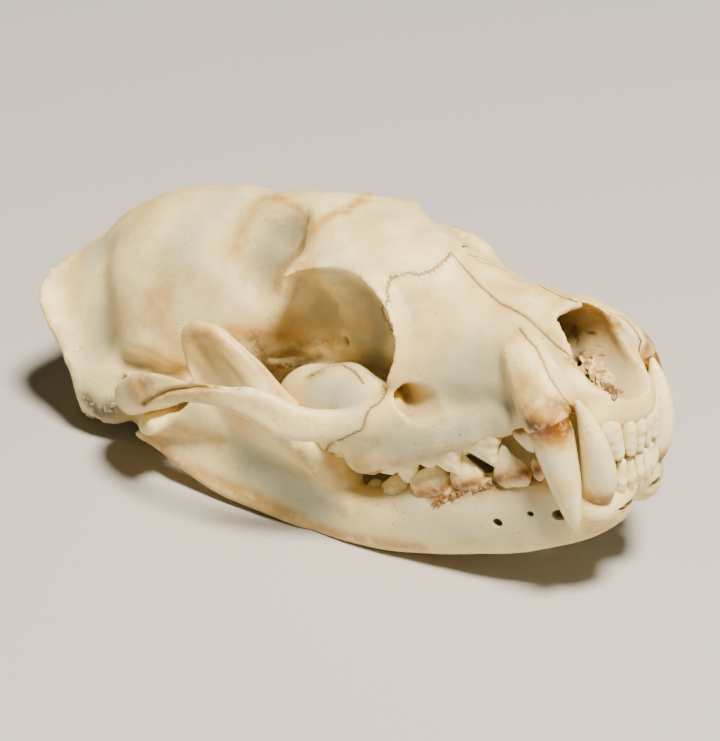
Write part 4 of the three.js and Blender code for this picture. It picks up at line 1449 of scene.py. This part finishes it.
@dataclass
class JawHalf:
    """One half of the lower jaw."""

    side: Side
    rough_grain: float = 0.5
    grain: float = 0.36
    triangles: int = 90000
    midline_gap: float = 0.12
    beam: Sequence[Row] = (
        (2.4, 4.8, -9.8, 2, 2.6, 3, 2.4, 2), (4, 7, -10.8, 3, 3.8, 4.2, 2.4, 2),
        (5.9, 10, -11.4, 3.4, 5.2, 5.3, 2.4, 2), (8, 14.8, -11.7, 3.1, 6.6, 6.2, 2.4, 2),
        (10.1, 21, -12, 2.9, 6.6, 6.9, 2.4, 2), (11.6, 28, -12.6, 2.9, 6, 6.6, 2.4, 2),
        (13, 36, -13.2, 2.8, 5.4, 6.3, 2.4, 2), (14.6, 44, -13.2, 2.7, 4.6, 5.8, 2.4, 2),
        (16, 52, -11.6, 2.3, 5, 5.9, 2.4, 2), (17.2, 60, -9.2, 1.8, 5, 5.7, 2.4, 2),
        (18.2, 68, -6, 1.2, 3.6, 5, 2.4, 2),
    )
    rim: Line = (
        (20, 68.4, 19.5), (20, 70.4, 17.4), (20.2, 70.2, 12), (20.4, 70.4, 8), (20.8, 74, 4.6),
        (21, 79, 3), (20.8, 82.6, 0.4), (19.6, 87.2, -1.2), (19.6, 82.6, -3.4),
        (19.2, 77, -7.4), (18.7, 71, -10.8), (17.8, 62, -13.6), (16.4, 54, -14),
        (15.6, 47, -10.4), (18, 51, -3), (19.8, 53.2, 5), (20, 57, 12.4), (20, 61, 17.6),
        (20, 65.4, 20),
    )
    section: Path = (
        (0, 0.2), (0.5, 0.5), (0.84, 1.2), (0.97, 0.9), (1.01, 0), (0.97, -0.9), (0.86, -1.1),
        (0.4, -1.1), (0, -1.1),
    )
    front: Sequence[Row] = (
        oval(14, 47.4, -9.6, 2.6, 2.6), oval(14.6, 49.6, -5.4, 3.4, 1.9),
        oval(16.4, 52, 0.4, 3.2, 1.6), oval(18.2, 54.6, 6.4, 2.2, 1.5),
        oval(19.4, 58, 13, 1.5, 1.4), oval(19.9, 62.6, 18, 1.2, 1.2), oval(20, 66, 19.6, 0.8, 0.8),
    )
    condyle: Sequence[Row] = (
        oval(16.4, 79.2, 2.4, 1.4, 1.3), oval(19, 79.2, 2.6, 2, 1.9),
        oval(22.6, 79, 2.8, 2.1, 2), oval(25.4, 78.6, 3.2, 1.4, 1.4),
    )

    def shape(self) -> Clay:
        """Returns the bare form of the half."""
        side = self.side
        pieces = [
            skinned(self.beam, side, end=0.06, rings=60),
            disc(self.rim, (18.6, 66, -1), (1, 0, 0), self.section, side),
            skinned(self.front, side, up=(0, 1, -1), rings=24, around=20),
            skinned(self.condyle, side, end=0.12, rings=20, around=24),
            egg((1.6, 10, -11.4), (3.4, 7, 3.8), side, tilt=-27),
            egg((2, 7.4, -11), (3, 2.8, 2.9), side),
            egg((6.6, 8.4, -11.4), (2.8, 3.4, 3.2), side),
        ]
        obj = fused(f"jaw_{self.side.name.lower()}", pieces, self.rough_grain)
        clay = Clay(obj)
        clay.melt(4)
        clay.write()
        middle = blade([(0, -30, -60), (0, 60, -60), (0, 60, 60), (0, -30, 60)], (-side * 40, 0, 0))
        middle.data.transform(Matrix.Translation((side * self.midline_gap, 0, 0)))
        carved(obj, middle)
        finish_with(obj, "REMESH", mode="VOXEL", voxel_size=self.grain)
        clay.reread()
        clay.relax(6)
        return clay

    @contextmanager
    def facing(self, clay: Clay) -> Iterator[None]:
        """Mirrors the left half for a while, to work it as the half that the picture shows."""
        turn = -1 if self.side is Side.LEFT else 1
        clay.spots[:, 0] *= turn
        yield
        clay.spots[:, 0] *= turn

    def model(self, clay: Clay) -> None:
        """Works the hollows and ridges, drawn on the side that the picture shows."""
        with self.facing(clay):
            for path, radius, height in JAW_STROKES:
                spots = clay.seen(path)
                if spots:
                    clay.push(spots, radius, height, way=(-1, -0.3, 0), sides=1)
        clay.relax(12)
        clay.rumple(6, 0.14, shift=self.side)

    def holes(self, clay: Clay) -> None:
        """Sinks the nerve holes, on the outside of the half, with brown round them and painted
        shade inside them.
        """
        with self.facing(clay):
            spots = clay.seen([(x, y) for x, y, *_ in JAW_HOLES])
            for _ in range(2):
                clay.refine([[spot] for spot in spots], 2.0)
            for spot, (_, _, wide, long, deep) in zip(spots, JAW_HOLES):
                offset = (clay.spots - spot) / (2.4, long, wide)
                near = np.clip(1 - np.linalg.norm(offset, axis=1), 0, 1)
                fall = eased(np.clip(near * 3.2, 0, 1))
                clay.spots += (fall * deep)[:, None] * (1, 0.25, 0)
                clay.deepen(Tint.BROWN, np.clip(near * 3, 0, 1))
                # painted shade inside the hole
                clay.deepen(Tint.DARK, np.clip(near * 2, 0, 0.8))

    def paint(self, clay: Clay) -> None:
        """Paints the stains, drawn on the side that the picture shows."""
        with self.facing(clay):
            for mark, path, radius, value in JAW_MARKS:
                spots = clay.seen(path)
                if spots:
                    clay.tint(mark, spots, radius, value)

    def build(self) -> bpy.types.Object:
        """Returns the finished half in the frame."""
        clay = self.shape()
        self.model(clay)
        clay.thin(self.triangles)
        self.holes(clay)
        self.paint(clay)
        mirrored = Side.RIGHT if self.side is Side.LEFT else Side.LEFT
        name = self.side.name.lower()
        with self.facing(clay):
            for crust in (LOWER_TARTAR, FRONT_TARTAR):
                made = crust.build(clay, DRIED_GUM, mirrored)
                made.name = made.data.name = f"{crust.name}_{name}"
        # Painted shade in the hollows, small and wide.
        clay.tints[Tint.SHADE] = np.maximum(clay.hollows(8, 0.25) * 0.7, clay.hollows(60, 1.0))
        clay.stand()
        clay.store()
        dressed(clay.obj, BONE)
        return settled(clay.obj, (f"mandible_{name}",))


# Nerve holes of the lower jaw: place in the picture, half height, half length and depth.
JAW_HOLES: tuple[Row, ...] = (
    (559.4, 515, 0.85, 1.3, 1.3), (530, 514.3, 0.5, 0.55, 0.8), (497.4, 523, 0.75, 0.8, 0.9),
    (622, 509, 0.35, 0.4, 0.35), (629, 503, 0.3, 0.35, 0.3),
)

JAW_STROKES: tuple[Stroke, ...] = (
    (((240, 455), (280, 480), (310, 500)), 8, -0.9),
    (((205, 352), (222, 372), (240, 402)), 3.6, -0.8),
    (((300, 452), (320, 482), (345, 504)), 2.6, 0.45),
    (((175, 462), (215, 490), (255, 511), (300, 523)), 2.2, 0.4),
)

JAW_MARKS: tuple[Mark, ...] = (
    (Tint.COOL, ((250, 460), (290, 490), (320, 510)), 6, 0.9),
    (Tint.COOL, ((420, 520), (480, 525), (540, 520)), 6, 0.6),
    (Tint.COOL, ((470, 500), (520, 498)), 4, 0.6),
    (Tint.TAN, ((145, 435), (175, 462), (215, 492), (255, 512), (330, 532), (420, 548)), 2.2, 0.8),
    (Tint.TAN, ((187, 335), (210, 333), (232, 336), (262, 372), (286, 408)), 1.8, 0.8),
    (Tint.TAN, ((206, 345), (222, 360), (240, 378)), 2.4, 0.5),
    (Tint.TAN, ((150, 440), (180, 430), (220, 440)), 3.4, 0.6),
    (Tint.TAN, ((330, 470), (345, 490)), 3, 0.4),
    (Tint.TAN, ((600, 530), (640, 510), (650, 495)), 4, 0.6),
    (Tint.TAN, ((440, 500), (480, 492), (530, 480), (575, 480)), 2.4, 0.7),
    (Tint.BROWN, ((430, 497), (460, 492), (500, 484), (535, 478)), 1.5, 0.9),
    (Tint.BROWN, ((622, 510), (628, 503), (633, 499)), 0.7, 0.8),
    (Tint.BROWN, ((300, 452), (316, 476)), 1.0, 0.4),
)


# Teeth


def cusp(x: float, y: float, z: float, tip_x: float, tip_y: float, tip_z: float,
         wide: float, long: float, blunt: float = 0.3, lean: float = 0.0) -> list[Row]:
    """Returns the stations of one cusp, from inside the gum to its tip."""
    root = 2.2 if z > tip_z else -2.2
    part = 0.45
    return [
        (x * (1 - lean * 0.06), y + lean, z + root, wide * 0.8, long * 0.8, long * 0.8),
        (x, y, z, wide, long, long),
        (x + (tip_x - x) * part, y + (tip_y - y) * part, z + (tip_z - z) * part,
         wide * 0.92, long * 0.86, long * 0.86),
        (tip_x, tip_y, tip_z, wide * blunt, long * blunt, long * blunt),
    ]


@dataclass(frozen=True)
class Tooth:
    """A cheek tooth: its blade as stations from front to back, and its inner cusps."""

    blade: Sequence[Row] = ()
    cusps: Sequence[Row] = ()

    def pieces(self, side: int) -> list[bpy.types.Object]:
        """Returns what the tooth is joined from."""
        made = [
            skinned(cusp(*row), side, up=(0, 1, 0), end=0.1, rings=14, around=20)
            for row in self.cusps
        ]
        if self.blade:
            made.append(skinned(self.blade, side, end=0.03, rings=40, around=28))
        return made


@dataclass
class ToothRow:
    """Teeth that stand in one row, each skinned by itself."""

    name: str
    teeth: Sequence[Tooth]
    upper: bool
    inward: float = 0.0
    rough: float = 0.12
    grain: float = 0.15

    def build(self) -> list[bpy.types.Object]:
        """Returns the row on each side."""
        made = []
        for side in Side:
            crowns = []
            for tooth in self.teeth:
                crown = fused("crown", tooth.pieces(side), self.grain)
                clay = Clay(crown)
                clay.melt(2)
                clay.spots[:, 0] -= side * self.inward
                clay.rumple(1.1, self.rough, shift=len(crowns) + 9.0)
                clay.write()
                crowns.append(crown)
            pick(*crowns)
            bpy.ops.object.join()
            obj = bpy.context.active_object
            obj.name = obj.data.name = f"{self.name}_{side.name.lower()}"
            clay = Clay(obj)
            self.stain(clay)
            clay.store()
            dressed(obj, ENAMEL)
            made.append(settled(obj))
        return made

    def stain(self, clay: Clay) -> None:
        """Darkens the necks of the teeth where they meet the bone, and paints shade in the hollows
        between cusps.
        """
        line = UPPER_GUM if self.upper else LOWER_GUM
        share = 0.7 if self.upper else 1.0
        clay.tint(Tint.TAN, line, 2.8, share, sides=2)
        clay.tint(Tint.BROWN, line, 1.3, share, sides=2)
        # painted shade in the hollows between cusps
        clay.tints[Tint.SHADE] = clay.hollows(10, 0.12)


UPPER_GUM = (
    (-16, 45.6, -4.6), (-16.4, 39.9, -3), (-16.3, 35.9, -2.1), (-15.8, 32.4, -1.3),
    (-15, 28.4, -0.2), (-13.5, 25.4, 0.6), (-12.8, 22.2, 1.6), (-12, 19.8, 1.9),
    (-11.4, 16.2, 2.2), (-11, 13.4, 2.7),
)
LOWER_GUM = (
    (-14.6, 44, -10), (-14.5, 39.2, -9.2), (-14.5, 33.1, -8), (-14, 28, -6.8),
    (-13.3, 24, -6.2), (-12.8, 20.4, -5.4), (-12, 17.1, -4.7), (-11.5, 13.6, -4),
)

UPPER_CHEEK = ToothRow("upper_cheek_teeth", (
    Tooth((
        (11.1, 12.9, 2.2, 0.6, 0.9, 0.6), (11.2, 13.8, 2, 1, 0.9, 2.4, 2.5, 1.5),
        (11.3, 14.8, 1.9, 1.1, 0.9, 3.4, 2.5, 1.3), (11.5, 15.9, 1.9, 1, 0.9, 2.2, 2.5, 1.5),
        (11.7, 17, 2, 0.5, 0.9, 0.6),
    )),
    Tooth((
        (12.3, 19.2, 1.2, 0.7, 0.9, 0.8), (12.4, 20.4, 1, 1.2, 0.9, 2.2, 2.5, 1.5),
        (12.6, 22.1, 0.6, 1.45, 0.9, 5.1, 2.5, 1.25), (12.8, 23.2, 0.3, 1.4, 0.9, 3.6, 2.5, 1.4),
        (13.1, 24.5, 0, 1.2, 0.9, 1.8, 2.5, 1.6), (13.4, 25.4, -0.2, 0.7, 0.9, 0.8),
    )),
    Tooth((
        (13.9, 25.6, 0.2, 1, 0.9, 0.8, 2.5, 2), (14.1, 26.6, 0, 1.6, 0.9, 2.6, 2.5, 1.5),
        (14.4, 28.2, -0.4, 1.8, 0.9, 5.1, 2.5, 1.25), (14.6, 29.3, -0.8, 1.7, 0.9, 3.9, 2.5, 1.4),
        (14.7, 30.4, -1, 1.6, 0.9, 2.5, 2.5, 1.5), (15, 31.8, -1.3, 1.6, 0.9, 2.8, 2.5, 1.5),
        (15.2, 33, -1.6, 1.3, 0.9, 2, 2.5, 1.7), (15.3, 33.6, -1.8, 0.7, 0.9, 0.8),
    ), ((12.2, 26.6, 0.4, 12, 26.6, -2.8, 1.9, 1.8),)),
    Tooth((
        (15.6, 33.5, -1.8, 0.9, 0.9, 1.2), (16.2, 34.6, -2.2, 1.6, 0.9, 2.5, 2.5, 1.6),
        (16.4, 36.4, -2.5, 1.6, 0.9, 1.8, 2.5, 2), (16.5, 38.4, -2.9, 1.6, 0.9, 2.2, 2.5, 1.6),
        (16.3, 39.8, -3.2, 1.4, 0.9, 1.6, 2.5, 2), (16, 40.6, -3.3, 0.9, 0.9, 1),
    ), ((14.2, 36.6, -3.2, 14.7, 36.6, -7.3, 1.7, 2.3), (12, 37, -2.8, 11.8, 37, -5.6, 2.2, 2.4))),
    Tooth((
        (15.9, 40.9, -3.4, 0.8, 0.9, 1), (16.2, 42, -3.8, 1.3, 0.9, 1.8, 2.5, 1.6),
        (15.9, 43.4, -4.2, 1.4, 0.9, 1.5, 2.5, 1.8), (15.3, 44.7, -4.7, 0.9, 0.9, 1),
        (15, 45.2, -4.9, 0.6, 0.6, 0.5),
    ), ((13, 43, -4, 12.8, 43, -6.2, 1.8, 1.8),)),
), True, 0.8)
UPPER_FRONT = ToothRow("upper_incisors", (
    Tooth(cusps=((1, 1.5, 0.2, 1.05, 2.55, -4.5, 1, 1.05, 0.72, 1.4),)),
    Tooth(cusps=((3, 2, 0.6, 3.05, 2.5, -4.3, 1.1, 1.2, 0.7, 1.8),)),
    Tooth(cusps=((5.2, 3.9, 1.6, 4.8, 3.4, -4.2, 1.6, 1.9, 0.52, 2),)),
), True)
LOWER_FRONT = ToothRow("lower_incisors", (
    Tooth(cusps=((0.95, 3.4, -8, 0.95, 2.8, -4.5, 0.8, 0.9, 0.72, 1.2),)),
    Tooth(cusps=((2.6, 3.9, -8.2, 2.65, 3.1, -4.5, 0.9, 1, 0.7, 1.2),)),
    Tooth(cusps=((4.2, 4.6, -8.3, 4, 3.4, -4.2, 1, 1.1, 0.6, 1.2),)),
), False)
LOWER_CHEEK = ToothRow("lower_cheek_teeth", (
    Tooth(((10.4, 13, -4.2, 0.5, 1, 1), (10.5, 14.1, -4.3, 0.9, 2, 1.6, 1.5, 2.5),
           (10.6, 15, -4.5, 0.5, 0.9, 1))),
    Tooth((
        (10.9, 15.4, -4.8, 0.6, 1.2, 1), (11, 16.4, -4.8, 1.1, 2.2, 2, 1.5, 2.5),
        (11.1, 17.6, -4.9, 1.3, 3.4, 2, 1.35, 2.5), (11.2, 18.9, -5, 1.4, 4.9, 2, 1.25, 2.5),
        (11.4, 20.2, -5.1, 1.3, 3, 2, 1.4, 2.5), (11.5, 21.4, -5.2, 0.7, 1, 1.2),
    )),
    Tooth((
        (11.9, 23.5, -6, 0.7, 1.2, 1), (12, 24.6, -6, 1.2, 2.6, 2, 1.5, 2.5),
        (12.2, 26.2, -6.2, 1.5, 4.8, 2, 1.25, 2.5), (12.4, 27.6, -6.5, 1.4, 2.9, 2, 1.4, 2.5),
        (12.6, 29, -6.8, 0.8, 1.2, 1),
    )),
    Tooth((
        (12.7, 29.4, -7, 0.8, 1.4, 1.2), (12.8, 31.4, -7.2, 1.7, 3.2, 2, 1.4, 2.5),
        (13, 33.4, -7.6, 1.9, 2.8, 2, 1.6, 2.5), (13.1, 35.4, -8, 1.9, 2.4, 2, 1.6, 2.5),
        (13.2, 36.6, -8.2, 0.9, 1.2, 1),
    ), ((11.8, 32.6, -7.4, 11.6, 32.6, -4.6, 1.4, 1.8),)),
    Tooth((
        (13.2, 37, -8.4, 0.9, 1.4, 1.2), (13.2, 38.6, -8.6, 1.9, 2.2, 2, 1.7, 2.5),
        (13.2, 40.6, -9, 1.9, 2, 2, 1.7, 2.5), (13.1, 42.4, -9.4, 0.9, 1.2, 1),
    )),
    Tooth((
        (13, 43, -9.8, 0.8, 1.2, 1.2), (12.9, 44.6, -10, 1.7, 2, 2, 1.8, 2.5),
        (12.8, 46.4, -10.4, 0.8, 1, 1),
    )),
), False)


@dataclass
class Canine:
    """The long eye tooth of one jaw, on both sides.

    Attributes:
        name: Its name, without the side.
        rows: Stations from the root to the tip.
        necks: Stains of the neck: mark, height where it starts, height where it is full, value.
        drop: How much lower the left tooth's tip stands.
        marks: Lines painted on it: mark, line, half width and strength.
    """


    name: str
    rows: Sequence[Row]
    necks: Sequence[tuple[Tint, float, float, float]]
    drop: float
    marks: Sequence[tuple[Tint, Line, float, float]] = ()

    def build(self) -> list[bpy.types.Object]:
        """Returns the left and the right tooth."""
        made = []
        for side in Side:
            obj = skinned(self.rows, side, up=(0, 1, 0), end=0.03, rings=80, around=48)
            name = f"{self.name}_{side.name.lower()}"
            obj.name = obj.data.name = f"{name}_enamel"
            clay = Clay(obj)
            if side is Side.LEFT:
                height = np.clip((clay.spots[:, 2] + 6) / 13, 0, 1)
                clay.spots[:, 2] -= self.drop * height
            for mark, start, full, value in self.necks:
                part = np.clip((clay.spots[:, 2] - start) / (full - start), 0, 1)
                clay.tints[mark] = part * value
            for mark, path, radius, value in self.marks:
                clay.tint(mark, [(x * side, y, z) for x, y, z in path], radius, value)
            clay.store()
            dressed(obj, ENAMEL)
            made.append(settled(obj, (name,)))
        return made


UPPER_CANINE = Canine("upper_canine", (
    (8.6, 14.4, 13.4, 1.2, 1.6), (10.2, 11.8, 9.4, 2, 2.8), (11.2, 10, 5.8, 2.5, 3.35),
    (11.6, 9.2, 3, 2.6, 3.5), (11.7, 8.9, -1, 2.4, 3.15), (11.5, 8.8, -5, 2.05, 2.62),
    (11.15, 9, -9, 1.45, 1.85), (10.85, 9.15, -11.4, 0.98, 1.22), (10.7, 9.2, -12.8, 0.5, 0.6),
    (10.65, 9.2, -13.3, 0.22, 0.25),
), ((Tint.TAN, 0.2, 2.4, 1.1), (Tint.BROWN, 2, 4, 1)), 0, (
    (Tint.SEAM, ((9.9, 6.6, -5), (9.8, 7.3, -8.6)), 0.2, 0.9),
    (Tint.TAN, ((11.2, 8.9, -4), (10.8, 9.2, -11)), 2.6, 0.3),
))
LOWER_CANINE = Canine("lower_canine", (
    (5.4, 12.6, -13.4, 1, 1.4), (6.2, 9.6, -11, 1.4, 1.9), (6.9, 7.1, -8.6, 1.9, 2.65),
    (7.6, 5.3, -5, 2.05, 2.8), (8.4, 4.5, -0.2, 1.75, 2.3), (9, 4.55, 4.2, 1.15, 1.4),
    (9.35, 4.9, 6.4, 0.65, 0.75), (9.5, 5.05, 7.5, 0.3, 0.35),
), ((Tint.TAN, -6.8, -8.6, 1), (Tint.BROWN, -8.4, -9.6, 0.9)), 1.9)


def main() -> None:
    """Builds every piece in order."""
    Studio().build()
    LOOK.camera()
    made = [Cranium().build()]
    made += [JawHalf(side).build() for side in Side]
    for row in (UPPER_CHEEK, UPPER_FRONT, LOWER_FRONT, LOWER_CHEEK, UPPER_CANINE, LOWER_CANINE):
        made += row.build()
    log.info("%d pieces", len(made))


if __name__ == "__main__":
    main()
